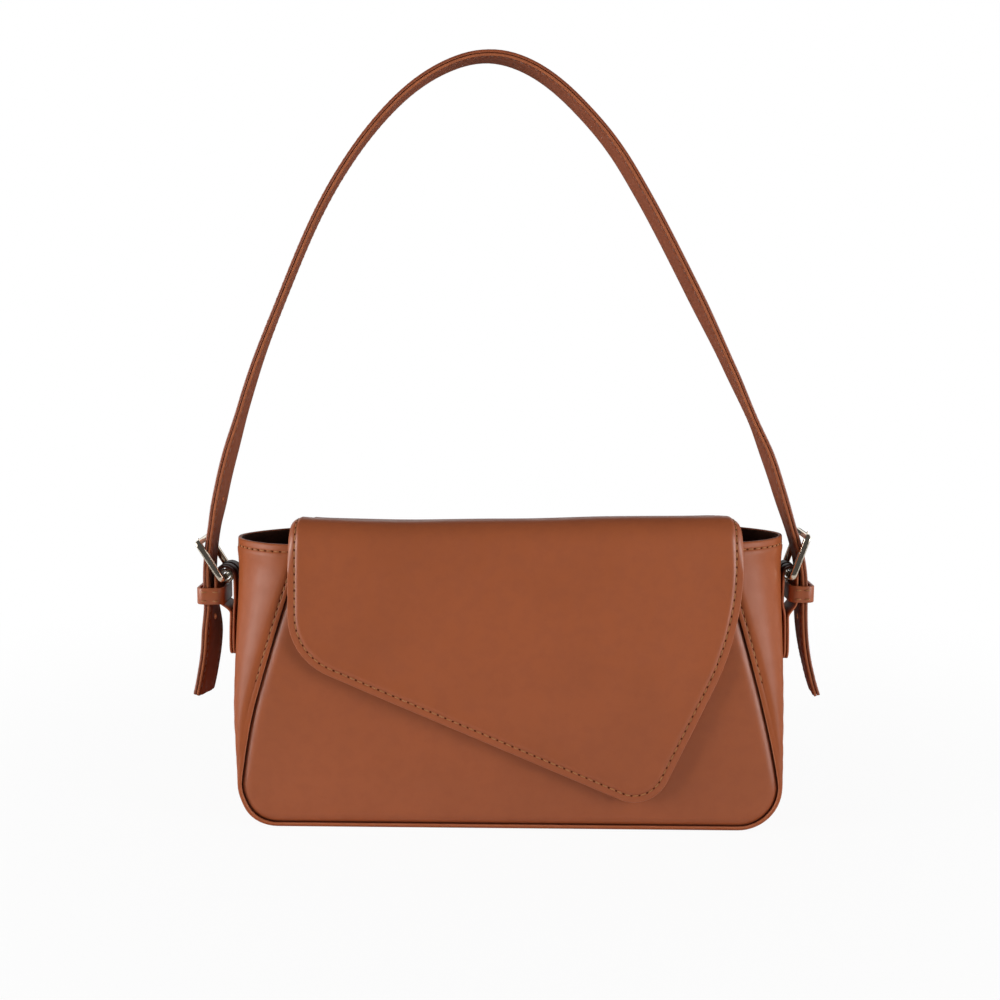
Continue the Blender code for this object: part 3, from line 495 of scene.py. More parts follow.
TAN_COLOUR = (0.370, 0.094, 0.030)
TAN_DEEP = (0.250, 0.055, 0.017)
# Lighter than the face: a painted highlight of the rolled edge.
TAN_EDGE_HIGHLIGHT = (0.50, 0.17, 0.085)
SEAM_SHADOW = (0.045, 0.010, 0.005, 1)
# Painted shade over the tab's fold.
FOLD_SHADE_COLOUR = (0.026, 0.010, 0.011, 1)
# Painted shade in the needle holes.
HOLE_SHADE = (0.070, 0.018, 0.008, 1)
HOLE_SIZE = (0.15, 0.14)
GRAIN_CELL = 0.0011


def tint(colour, share=1.0):
    return (*[c * share for c in colour], 1)


class Nodes:
    """Short calls for building a node tree."""

    def __init__(self, owner, output="ShaderNodeOutputMaterial"):
        owner.use_nodes = True
        self.owner = owner
        self.tree = owner.node_tree
        self.tree.nodes.clear()
        self.output = self.add(output)

    def add(self, kind, values=None, **settings):
        node = self.tree.nodes.new(kind)
        for key, value in settings.items():
            setattr(node, key, value)
        for key, value in (values or {}).items():
            if isinstance(value, bpy.types.NodeSocket):
                self.tree.links.new(value, node.inputs[key])
            else:
                node.inputs[key].default_value = value
        return node

    def maths(self, operation, *values):
        return self.add("ShaderNodeMath", dict(enumerate(values)), operation=operation).outputs[0]

    def span(self, value, low, high, to_low=0.0, to_high=1.0, interpolation="SMOOTHSTEP"):
        """A step of a value from one range to another, smooth unless said otherwise."""
        values = {"Value": value, "From Min": low, "From Max": high, "To Min": to_low, "To Max": to_high}
        return self.add("ShaderNodeMapRange", values, interpolation_type=interpolation).outputs["Result"]

    def noise(self, coordinates, scale, detail=2.0, roughness=0.5):
        values = {"Vector": coordinates, "Scale": scale, "Detail": detail, "Roughness": roughness}
        return self.add("ShaderNodeTexNoise", values).outputs["Fac"]

    def mix(self, factor, a, b):
        return self.add("ShaderNodeMix", {0: factor, 6: a, 7: b}, data_type="RGBA").outputs[2]

    def bump(self, height, strength, distance, **values):
        values.update(Height=height, Strength=strength, Distance=distance)
        return self.add("ShaderNodeBump", values).outputs[0]

    def coordinates(self):
        return self.add("ShaderNodeTexCoord").outputs["Object"]

    def seam(self, layer):
        """(stitches along, distance from the edge) of the piece's seam coordinates."""
        seam = self.add("ShaderNodeUVMap", uv_map=layer).outputs[0]
        return self.add("ShaderNodeSeparateXYZ", {0: seam}).outputs[:2]

    def ray(self, kind):
        return self.add("ShaderNodeLightPath").outputs[kind]

    def seen(self):
        """1 where the camera looks, through clear things too."""
        return self.maths("MAXIMUM", self.ray("Is Camera Ray"), self.ray("Is Transmission Ray"))

    def finish(self, shader):
        self.tree.links.new(shader.outputs[0], self.output.inputs[0])
        return self.owner

    def surface(self, colour, roughness, normal, values):
        values.update({"Base Color": colour, "Roughness": roughness, "Normal": normal})
        return self.finish(self.add("ShaderNodeBsdfPrincipled", values))


def new_material(name):
    nodes = Nodes(bpy.data.materials.new(name))
    return nodes, nodes.coordinates()


def grain_height(nodes, place):
    """The fine pebble of smooth leather."""
    values = {"Vector": place, "Scale": 1 / GRAIN_CELL, "Randomness": 1.0}
    cells = nodes.add("ShaderNodeTexVoronoi", values, feature="SMOOTH_F1").outputs["Distance"]
    fine = nodes.maths("MULTIPLY", nodes.noise(place, 3.2 / GRAIN_CELL, 2.0), 0.35)
    wobble = nodes.maths("MULTIPLY", nodes.noise(place, 0.4 / GRAIN_CELL, 3.0), 0.6)
    return nodes.maths("ADD", nodes.maths("MULTIPLY_ADD", cells, -0.8, fine), wobble)


def sewing_holes(nodes, layer):
    """1 inside each needle hole of a seam, and the distance from the seam's edge."""
    along, away = nodes.seam(layer)
    centred = nodes.maths("FRACT", nodes.maths("ADD", along, 0.5)), away
    terms = []
    for value, middle, size in zip(centred, (0.5, 1.0), HOLE_SIZE):
        off = nodes.maths("ABSOLUTE", nodes.maths("SUBTRACT", value, middle))
        terms.append(nodes.maths("POWER", nodes.maths("DIVIDE", off, size), 2.0))
    return nodes.span(nodes.maths("ADD", *terms), 0.35, 1.25, 1.0, 0.0), away


def leather(name, colour=TAN_COLOUR, deep=TAN_DEEP, roughness=0.40, sewn=True, edge=TAN_EDGE_HIGHLIGHT, dark_seam=False,
            painted_fold_shade=False, shine=0.5, coat=0.08):
    nodes, place = new_material(name)
    mottle = nodes.noise(place, 160.0, 4.0, 0.6)
    patch = nodes.span(nodes.noise(place, 14.0, 3.0, 0.55), 0.32, 0.70)
    tone = nodes.mix(patch, tint(colour), tint(colour, 0.90))
    tone = nodes.mix(nodes.span(mottle, 0.40, 0.66, 0.0, 0.16), tone, tint(deep))
    normal = nodes.bump(grain_height(nodes, place), 0.12, 0.00012)
    rough = nodes.span(mottle, 0.3, 0.7, roughness - 0.04, roughness + 0.05)
    if dark_seam:
        tone = nodes.mix(nodes.span(nodes.seam("seam")[1], 0.55, 1.5, 0.9, 0.0), tone, SEAM_SHADOW)
    # Painted shade: the tab's loop is darkened towards a near-black brown by a per-point attribute, most over its
    # fold.
    if painted_fold_shade:
        fold_shade_share = nodes.add("ShaderNodeAttribute", attribute_name="fold_shade").outputs["Fac"]
        tone = nodes.mix(nodes.maths("MULTIPLY", fold_shade_share, 0.88), tone, FOLD_SHADE_COLOUR)
    if sewn:
        holes, away = sewing_holes(nodes, "seam")
        holes = nodes.maths("MAXIMUM", holes, sewing_holes(nodes, "rim")[0])
        # Towards the edge the tone moves unevenly to the edge colour. This is partly real wear and edge paint. Where
        # that colour is lighter than the face, as for the tan leathers, the underside and the flap's backing, it is
        # a painted highlight of the rounded edge.
        near_edge = nodes.span(away, 0.0, 0.16, 0.75, 0.0)
        worn_and_highlit = nodes.maths("MULTIPLY", near_edge, nodes.span(mottle, 0.35, 0.6, 0.6, 1.0))
        if painted_fold_shade:
            worn_and_highlit = nodes.maths("MULTIPLY", worn_and_highlit, nodes.maths("SUBTRACT", 1.0, fold_shade_share))
        tone = nodes.mix(worn_and_highlit, tone, tint(edge))
        # Painted shade in each needle hole, with less gloss there.
        tone = nodes.mix(nodes.maths("MULTIPLY", holes, 0.90), tone, HOLE_SHADE)
        normal = nodes.bump(nodes.maths("MULTIPLY", holes, -1.0), 0.8, 0.0004, Normal=normal)
        shine, coat = [nodes.maths("MULTIPLY_ADD", holes, -value, value) for value in (shine, coat)]
    gloss = {"Specular IOR Level": shine, "Coat Weight": coat, "Coat Roughness": 0.30}
    return nodes.surface(tone, rough, normal, gloss)


def suede(name, colour):
    nodes, place = new_material(name)
    nap = nodes.noise(place, 900.0, 4.0, 0.7)
    brushed = nodes.span(nodes.noise(place, 45.0, 3.0, 0.6), 0.35, 0.65)
    tone = nodes.mix(brushed, tint(colour), tint(colour, 1.7))
    tone = nodes.mix(nodes.span(nap, 0.4, 0.7, 0.0, 0.5), tone, tint(colour, 0.6))
    soft = {"Specular IOR Level": 0.1, "Sheen Weight": 0.03, "Sheen Roughness": 0.5}
    return nodes.surface(tone, 0.92, nodes.bump(nap, 0.35, 0.0003), soft)


def thread(name, colour):
    nodes, place = new_material(name)
    values = {"Vector": place, "Scale": 900.0, "Distortion": 1.5, "Detail": 1.0}
    twist = nodes.add("ShaderNodeTexWave", values, bands_direction="DIAGONAL").outputs["Fac"]
    tone = nodes.mix(twist, tint(colour, 0.62), tint(colour))
    return nodes.surface(tone, 0.6, nodes.bump(twist, 0.5, 0.0001), {"Sheen Weight": 0.15})


def polished(name, colour, roughness):
    nodes, place = new_material(name)
    haze = nodes.noise(place, 90.0, 3.0, 0.6)
    stretched = nodes.add("ShaderNodeMapping", {"Vector": place, "Scale": (9000.0, 500.0, 1500.0)}).outputs[0]
    tone = nodes.mix(nodes.span(haze, 0.35, 0.7, 0.0, 0.3), tint(colour), tint(colour, 0.9))
    rough = nodes.span(haze, 0.3, 0.7, roughness - 0.02, roughness + 0.04)
    scratches = nodes.bump(nodes.noise(stretched, 1.0), 0.02, 0.00001)
    return nodes.surface(tone, rough, scratches, {"Metallic": 1.0})


def pressed_board(name, colour):
    nodes, place = new_material(name)
    flecks = nodes.noise(place, 700.0, 4.0, 0.7)
    tone = nodes.mix(nodes.span(flecks, 0.35, 0.65), tint(colour), tint(colour, 0.7))
    return nodes.surface(tone, 0.9, nodes.bump(flecks, 0.3, 0.0002), {})


TAN = leather("tan_leather")
GUSSET_TAN = leather("tan_leather_gusset", shine=0.22, coat=0.02)
PANEL_TAN = leather("tan_leather_panel", sewn=False, dark_seam=True)
STRAP_TAN = leather("tan_leather_strap", edge=(0.190, 0.045, 0.019))
TAB_TAN = leather("tan_leather_tab", painted_fold_shade=True, shine=0.12, coat=0.0)
UNDERSIDE = leather("strap_underside", (0.250, 0.072, 0.034), (0.160, 0.042, 0.022), roughness=0.65,
                    edge=(0.46, 0.145, 0.060), shine=0.08, coat=0.0)
FLAP_BACKING = leather("flap_backing", (0.300, 0.080, 0.030), (0.200, 0.048, 0.018), roughness=0.5,
                       edge=(0.40, 0.14, 0.06))
LINING = suede("dark_lining", (0.050, 0.020, 0.013))
THREAD = thread("golden_tan_thread", (0.52, 0.20, 0.055))
UNDER_THREAD = thread("brown_thread", (0.24, 0.085, 0.045))
GOLD = polished("pale_gold_metal", (0.93, 0.82, 0.66), 0.08)
SNAP_METAL = polished("snap_metal", (0.72, 0.68, 0.60), 0.24)
BOARD = pressed_board("grey_board", (0.25, 0.23, 0.20))


# Body shape

def side_share(height):
    """0 at the rim and 1 where the rounded bottom corner starts."""
    return held((RIM_HEIGHT - height) / SIDE_LENGTH)


def half_width(height, inset=0.0):
    if height >= BOTTOM_RADIUS:
        ease = 1 - (1 - side_share(height)) ** 2
        return MOUTH_HALF_WIDTH + (BODY_HALF_WIDTH - MOUTH_HALF_WIDTH) * ease - inset
    radius = BOTTOM_RADIUS - inset
    return CORNER_X + math.sqrt(radius**2 - min(BOTTOM_RADIUS - height, radius) ** 2)


def half_depth(height):
    return MOUTH_HALF_DEPTH + (BASE_HALF_DEPTH - MOUTH_HALF_DEPTH) * side_share(height)


def seam_inset(share):
    return SEAM_LOW_INSET + (WING_TOP_INSET - SEAM_LOW_INSET) * (1 - share) ** WING_CURVE_SHARE


def side_radius(share):
    return SIDE_LOW_RADIUS + (SIDE_TOP_RADIUS - SIDE_LOW_RADIUS) * (1 - share) ** SIDE_CURVE_SHARE


def side_crown(share):
    return SIDE_CROWN * (4 * share * (1 - share)) ** 2


def side_wall(height):
    """Where the crowned side wall's outer face stands at mid depth."""
    return half_width(height) + side_crown(side_share(height))


def side_nose(share):
    """How far the gusset's section stands out beyond that wall, most at the mouth."""
    return MOUTH_NOSE * (1 - share) ** 4 + SIDE_SWELL * (4 * share * (1 - share)) ** 2


def pinched(y, depth, inset, share, facing):
    """(y, inset) of the gusset's section drawn in towards an oval, most near the mouth and fading out below it."""
    weight = MOUTH_PINCH[facing] * (1 - share) ** 2
    if facing < 0:
        weight *= 0.2 + 0.8 * smooth(share * SIDE_LENGTH / MOUTH_PINCH_EASE)
    beyond = 1 - held(inset / seam_inset(share))
    oval = depth * (1 - beyond**MOUTH_OVAL) ** (1 / MOUTH_OVAL)
    return y + weight * (oval - y), inset - side_nose(share) * beyond**2


def lifted(point):
    """The right end stands a little higher at the top, where the strap pulls; the left's low corner is drawn in."""
    draw = LEFT_DRAW * ramp(-point.x, -LEFT_DRAW_SIDE[0], LEFT_DRAW_SIDE[1])
    draw *= ramp(point.z, 0.0, LEFT_DRAW_FOOT) * (1 - ramp(point.z, *LEFT_DRAW_FADE))
    rise = RIGHT_RISE * ramp(point.x, *RIGHT_RISE_SIDE) * ramp(point.z, 0.0, RIM_HEIGHT)
    return Vector((point.x + draw, point.y, point.z + rise))


class Station:
    """A place on the body's outline seen from the front, with the gusset's section across it."""

    def __init__(self, place, way_in, share):
        self.place = place
        self.way_in = way_in
        self.share = share
        self.radius = side_radius(share)
        self.depth = half_depth(place.y)
        self.flat = self.depth - self.radius
        self.turn = self.radius * math.pi / 2
        self.reach = self.flat + self.turn + max(0.0, seam_inset(share) - self.radius)
        self.sewn = seam_inset(share) > SEWN_WING

    def point(self, across, rise):
        """(point, outward) at a distance across from the middle, minus to the front, and a height over it."""
        side = -1 if across < 0 else 1
        run = abs(across)
        angle = min(max(run - self.flat, 0.0) / self.radius, math.pi / 2)
        out = Vector((-math.cos(angle), math.sin(angle)))
        inset = self.radius * (1 + out.x) + max(0.0, run - self.flat - self.turn)
        inset -= side_crown(self.share) * max(0.0, 1 - (run / self.flat) ** 2)
        y, inset = pinched(min(run, self.flat) + self.radius * out.y, self.depth, inset, self.share, side)
        spot = self.place + self.way_in * (inset + out.x * rise)
        outward = Vector((self.way_in.x * out.x, side * out.y, self.way_in.y * out.x))
        return lifted(Vector((spot.x, side * (y + out.y * rise), spot.y))), outward

    def mirrored(self):
        flip = Vector((-1.0, 1.0))
        return Station(self.place * flip, self.way_in * flip, self.share)


def outline_stations(rim_steps, side_steps, corner_steps, bottom_steps=0):
    """Stations from the right rim down, round the corner and, with bottom steps, on to the middle."""
    side = SIDE_LENGTH - rim_steps[-1]
    drops = [*rim_steps] + [rim_steps[-1] + side * share for share in shares(side_steps)[1:]]
    heights = [RIM_HEIGHT - drop for drop in drops]
    stations = [Station(Vector((half_width(h), h)), Vector((-1.0, 0.0)), side_share(h)) for h in heights]
    centre = Vector((CORNER_X, BOTTOM_RADIUS))
    for share in shares(corner_steps)[1:]:
        way_out = Vector((math.cos(math.pi / 2 * share), -math.sin(math.pi / 2 * share)))
        stations.append(Station(centre + way_out * BOTTOM_RADIUS, -way_out, 1.0))
    bottom = shares(bottom_steps)[1:] if bottom_steps else []
    return stations + [Station(Vector((CORNER_X * (1 - share), 0.0)), Vector((0.0, 1.0)), 1.0) for share in bottom]


def seam_distance(x, z):
    """How far a place on the front lies inside the gusset's edge."""
    x = abs(x)
    low = seam_inset(1.0)
    if z < BOTTOM_RADIUS and x > CORNER_X:
        return BOTTOM_RADIUS - low - math.hypot(x - CORNER_X, z - BOTTOM_RADIUS)
    side = half_width(max(z, BOTTOM_RADIUS)) - seam_inset(side_share(z)) - x
    return min(side * 0.97, z - low)


# Gusset band: sides and bottom in one piece, with a turned edge sewn over each panel

RIM_STEPS = (0.0, 0.00012, 0.0004, 0.0012, 0.0024, 0.0029, 0.0032, 0.0035, 0.0038, 0.0041, 0.0048, 0.0062)
SEAM_STEPS = (0.0004, 0.0010, 0.0016, 0.0019, 0.00215, 0.0024, 0.00265, 0.0029, 0.0034, 0.0046, 0.0062)
# (distance in from the edge, share of the leather's thickness under its face)
GUSSET_EDGE = ((0.0012, 1.0), (0.00035, 0.97), (0.00006, 0.78), (0.0, 0.5), (0.00006, 0.24), (0.00022, 0.075))
# (down to this drop under the rim, the leather has this share of its thickness)
RIM_SQUEEZES = ((0.00005, 0.42), (0.0002, 0.78))
RIM_SEAM_REACH = 0.02
SEAM_THREAD_DROP = 0.005
EVEN_STEPS = 12
RIM_THREAD_END = 0.003


def gusset_section(station, drop):
    """(across, rise, from the edge) round half a section's front edge and outer face, to the middle."""
    inside = station.reach - SEAM_STEPS[-1]
    across = [*SEAM_STEPS] + [SEAM_STEPS[-1] + inside * share for share in shares(EVEN_STEPS)[1:]]
    fade = max(smooth(seam_inset(station.share) / SEWN_WING - 0.3), 0.25)
    section = [(d, -LEATHER * deep, d + UNSEEN if deep > 0.9 else 0.0) for d, deep in GUSSET_EDGE]
    for d in across:
        rim_relief = relief(drop, RIM_STITCH_INSET) if drop < RIM_SEAM_REACH else 0.0
        section.append((d, relief(d, GUSSET_STITCH_INSET) * fade + rim_relief, d))
    return section


def make_gusset():
    half = outline_stations(RIM_STEPS, side_steps=34, corner_steps=14, bottom_steps=22)
    stations = half + [station.mirrored() for station in reversed(half[:-1])]
    run = [0.0]
    for a, b in zip(stations, stations[1:]):
        run.append(run[-1] + (b.place - a.place).length)
    count = round(run[-1] / STITCH_PITCH)
    rings, seam, rim = [], [], []
    for station, along in zip(stations, run):
        drop = RIM_HEIGHT - station.place.y
        squeeze = next((share for deepest, share in RIM_SQUEEZES if drop < deepest), 1.0)
        section = gusset_section(station, drop)
        ring = [(d - station.reach, rise, edge) for d, rise, edge in section]
        ring += [(station.reach - d, rise, edge) for d, rise, edge in section[-2::-1]]
        inner = station.reach - GUSSET_EDGE[0][0]
        ring += [(inner * (1 - 2 * share), -LEATHER, UNSEEN) for share in shares(EVEN_STEPS)[1:-1]]
        middle = -LEATHER / 2
        rings.append([station.point(c, middle + (rise - middle) * squeeze)[0] for c, rise, _ in ring])
        for across, rise, edge in ring:
            away = edge / GUSSET_STITCH_INSET if station.sewn else UNSEWN[1] * (edge > SEAM_STEPS[0])
            seam.append((along / run[-1] * count, away))
            rim_away = drop / RIM_STITCH_INSET if rise > -LEATHER * 0.9 else UNSEWN[1]
            rim.append(((across + station.flat) / STITCH_PITCH, rim_away))
    band = loft("gusset_band", rings, GUSSET_TAN, seam=seam, rim=rim)
    stand_for(band, "tan_leather", "bag", "left_gusset", "right_gusset", "base_panel")
    add_gusset_stitches(stations, run, count)


def add_gusset_stitches(stations, run, count):
    """Threads beside both seams of the wings, and round the mouth's rim on both sides."""
    sewn = [i for i, s in enumerate(stations) if s.sewn and RIM_HEIGHT - s.place.y > SEAM_THREAD_DROP]
    half = len(stations) // 2
    halves = ("right", [i for i in sewn if i < half]), ("left", [i for i in sewn if i > half])
    for label, facing in (("front", -1), ("back", 1)):
        def along_seam(n, facing=facing):
            target = n / count * run[-1]
            i = min(max(int(np.searchsorted(run, target)) - 1, 0), len(run) - 2)
            share = (target - run[i]) / (run[i + 1] - run[i])
            ends = [s.point(facing * (s.reach - GUSSET_STITCH_INSET), -THREAD_SINK) for s in stations[i : i + 2]]
            point, outward = [a.lerp(b, share) for a, b in zip(*ends)]
            return point, (ends[1][0] - ends[0][0]).normalized(), outward.normalized()
        for side, chosen in halves:
            first = math.ceil(run[chosen[0]] / run[-1] * count)
            last = math.floor(run[chosen[-1]] / run[-1] * count)
            add_stitches(f"{side}_{label}_seam_thread", along_seam, last - first, THREAD, first, "bag")

    rim = stations[RIM_STEPS.index(RIM_STITCH_INSET)]
    for side, station in (("right", rim), ("left", rim.mirrored())):
        def around(n, station=station):
            across = n * STITCH_PITCH - station.flat
            point, outward = station.point(across, -THREAD_SINK)
            ahead, _ = station.point(across + STITCH_HALF_LENGTH, -THREAD_SINK)
            return point, (ahead - point).normalized(), outward
        first = math.ceil((rim.flat - rim.reach + RIM_THREAD_END) / STITCH_PITCH)
        last = math.floor((rim.flat + rim.reach - RIM_THREAD_END) / STITCH_PITCH)
        add_stitches(f"{side}_rim_thread", around, last - first, THREAD, first, "bag")


# Front and back panels, puffed between the seams

PANEL_COLUMNS = 64
PANEL_RIM_STEPS = (0.0003, 0.0015, 0.004)


def panel_rise(x, z, inside, facing):
    """How far the leather stands out between the seams: puffed, slightly uneven and dimpled at the front's snap."""
    rise = PANEL_PUFF * smooth(inside / PANEL_PUFF_REACH) - PANEL_EDGE_DROP * smooth(-inside / PANEL_EDGE_REACH)
    rise -= PANEL_SINK * smooth(inside / PANEL_SINK_REACH)
    rise += PANEL_WAVE * noise.noise(Vector((x * 14, z * 18, facing * 3.0))) * smooth(inside / PANEL_WAVE_REACH)
    near = math.hypot(x - SNAP_X, z - SNAP_HEIGHT) / SNAP_DIMPLE
    return rise * (1 - math.exp(-(near**4))) if facing < 0 and near < 3 else rise


def make_panel(name, node, facing):
    rows = outline_stations(PANEL_RIM_STEPS, side_steps=26, corner_steps=10)
    front, back, seam = [], [], []
    for station in rows:
        tuck = PANEL_TUCK * smooth(1.2 - station.share * 0.9)
        inset = max(PANEL_LEAST_TUCK, seam_inset(station.share) - tuck)
        edge_x, z = station.place + station.way_in * inset
        y = half_depth(z) - PANEL_STEP
        for j in range(PANEL_COLUMNS + 1):
            u = 2 * j / PANEL_COLUMNS - 1
            x = edge_x * (u * 1.5 - 0.5 * u**3)
            inside = seam_distance(x, z)
            front.append(lifted(Vector((x, facing * (y + panel_rise(x, z, inside, facing)), z))))
            back.append(lifted(Vector((x, facing * (y - LEATHER), z))))
            seam.append((0.5, max(0.0, inside) / PANEL_DARK_REACH))
    count, width = len(front), PANEL_COLUMNS + 1
    numbers = [list(range(start, start + width)) for start in range(0, count, width)]
    faces = []
    for a, b, c, d in grid_faces(numbers):
        faces += [(a, b, c, d), (count + a, count + d, count + c, count + b)]
    border = numbers[0][:-1] + [row[-1] for row in numbers[:-1]]
    border += numbers[-1][:0:-1] + [row[0] for row in numbers[:0:-1]]
    faces += [(a, count + a, count + b, b) for a, b in zip(border, border[1:] + border[:1])]
    panel = new_piece(name, front + back, faces, PANEL_TAN, seam=seam + [UNSEWN] * count)
    stand_for(panel, "tan_leather", "bag", node)


# Lining: a soft bag inside the body

LINING_THICKNESS = 0.0008
LINING_SIDE_INSET = 0.0019
LINING_FACE_INSET = 0.0038
LINING_FLOOR = 0.0042
LINING_CREASE = 0.0006
LINING_ROUND = 0.0002
LINING_RIM_ROOM = 0.0005
LINING_LEAST_RADIUS = 0.002
LINING_RADIUS_LESS = 0.004
LINING_RIM_FADE = 0.03
LINING_FLOOR_FADE = (0.008, 0.02)
LINING_FLOOR_SHARE = (0.985, 0.96)


def lining_ring(height, inset):
    """A rounded rectangle at a height, that far inside the lining's outer face, with soft creases."""
    share = side_share(height)
    x = half_width(height, LINING_SIDE_INSET + inset)
    y = half_depth(height) - LINING_FACE_INSET - inset
    radius = max(LINING_LEAST_RADIUS, side_radius(share) - LINING_RADIUS_LESS - inset)
    ring = []
    for sx, sy, corner in corner_arcs(x, y, radius, 8):
        for spot, _ in corner:
            drawn_y, drawn_inset = pinched(abs(spot.y), y, x - abs(spot.x), share, sy)
            ring.append(Vector((sx * (x - drawn_inset), sy * drawn_y, height)))
        if sx == sy:
            start, end = ring[-1], Vector((-sx * (x - radius), sy * y, height))
            ring += [start.lerp(end, along) for along in shares(24)[1:-1]]
    fade = smooth((RIM_HEIGHT - height) / LINING_RIM_FADE) * ramp(height, *LINING_FLOOR_FADE)
    for point in ring:
        crease = noise.noise(Vector((point.x * 22, point.z * 30, point.y * 9)))
        point.y -= math.copysign(1, point.y) * LINING_CREASE * (crease + 0.3) * fade
    return ring


def make_lining():
    top, floor = RIM_HEIGHT - GAP, LINING_FLOOR + LINING_THICKNESS
    heights = [LINING_FLOOR + (BOTTOM_RADIUS - LINING_FLOOR) * share**1.6 for share in shares(6)[:-1]]
    heights += [BOTTOM_RADIUS + (top - LINING_RIM_ROOM - BOTTOM_RADIUS) * share for share in shares(26)]
    outer = [lining_ring(h, 0.0) for h in heights] + [lining_ring(top, LINING_ROUND)]
    inner = [lining_ring(max(h, floor), LINING_THICKNESS) for h in heights[1:]]
    inner.append(lining_ring(top, LINING_THICKNESS - LINING_ROUND))
    floor_ring = [Vector((p.x * LINING_FLOOR_SHARE[0], p.y * LINING_FLOOR_SHARE[1], floor)) for p in inner[0]]
    rings = [[lifted(p) for p in ring] for ring in outer + inner[::-1] + [floor_ring]]
    stand_for(loft("lining_bag", rings, LINING), "dark_lining", "bag", "body_lining")


# Flap: one sheet from its sewn foot on the back, over the mouth and down the front

def flap_front(height):
    return half_depth(height) + FLAP_FRONT_STAND


def flap_route():
    """The flap's outer face in section, as (y, z) from the sewn foot over the top and down to the ground."""
    foot_y = half_depth(FLAP_FOOT_HEIGHT) - MOUTH_HALF_DEPTH + FLAP_BACK_Y
    points = [Vector((foot_y, FLAP_FOOT_HEIGHT)), Vector((FLAP_BACK_Y, RIM_HEIGHT))]
    back = Vector((FLAP_BACK_Y - FLAP_BACK_RADIUS, RIM_HEIGHT + FLAP_BACK_RISE))
    fold_z = FLAP_TOP - FLAP_FRONT_RADIUS
    fold_y = FLAP_FRONT_RADIUS * math.cos(FRONT_SLOPE)
    fold = Vector((fold_y - flap_front(fold_z + FLAP_FRONT_RADIUS * math.sin(FRONT_SLOPE)), fold_z))
    apart = back - fold
    fall = math.asin((FLAP_FRONT_RADIUS - FLAP_BACK_RADIUS) / apart.length) - math.atan2(apart.y, apart.x)
    for angle in np.linspace(0.0, math.pi / 2 - fall, 13):
        points.append(back + FLAP_BACK_RADIUS * Vector((math.cos(angle), math.sin(angle))))
    start, end = points[-1], fold + FLAP_FRONT_RADIUS * Vector((math.sin(fall), math.cos(fall)))
    for share in shares(10)[1:-1]:
        points.append(start.lerp(end, share) - Vector((0.0, FLAP_TOP_SAG * 4 * share * (1 - share))))
    for angle in np.linspace(-fall, math.pi / 2 - FRONT_SLOPE, 19):
        points.append(fold + FLAP_FRONT_RADIUS * Vector((-math.sin(angle), math.cos(angle))))
    low_y = -flap_front(BOTTOM_RADIUS)
    points += [Vector((low_y, BOTTOM_RADIUS)), Vector((low_y - FLAP_END_OUT, 0.0))]
    return Path(points).eased(FLAP_FOLD_EASE, FLAP_ROUTE_STEP)


FLAP_ROUTE = flap_route()
FLAP_RIM_RUN = RIM_HEIGHT - FLAP_FOOT_HEIGHT


def flap_run(height):
    """The distance along the flap's section at which its front hangs at a height."""
    points, at = FLAP_ROUTE.points, FLAP_ROUTE.at
    for i in range(len(points) // 2, len(points) - 1):
        if points[i].y >= height >= points[i + 1].y:
            share = (points[i].y - height) / (points[i].y - points[i + 1].y)
            return at[i] + (at[i + 1] - at[i]) * share
    return at[-1]


def flap_point(x, run, rise):
    """(point, outward) of the flap at a place on its unrolled sheet, at a height over its outer face."""
    spot, travel = FLAP_ROUTE.read(run)
    out = Vector((travel.y, -travel.x))
    rise += WING_STEP * ramp(abs(x), *WING_SPAN) * (1 - ramp(run, FLAP_RIM_RUN, WING_RIM_REACH))
    rise += FLAP_WAVE * noise.noise(Vector((x * 20, run * 9, 1.7)))
    top = ramp(run, FLAP_RIM_RUN, FLAP_TOP_REACH) * (1 - ramp(run, FLAP_FOLD_RUN, FLAP_FOLD_REACH))
    rise -= top * FLAP_HOLLOW * smooth(1 - abs(x - FLAP_HOLLOW_X) / FLAP_HOLLOW_REACH)
    for to_side, (reach, drop) in ((x - FLAP_LEFT, FLAP_LEFT_ROUND), (FLAP_RIGHT - x, FLAP_RIGHT_ROUND)):
        rise -= top * drop * (1 - math.sqrt(1 - (1 - held(to_side / reach)) ** 2))
    spot = spot + out * rise
    return lifted(Vector((x, spot.x, spot.y))), Vector((0.0, out.x, out.y))


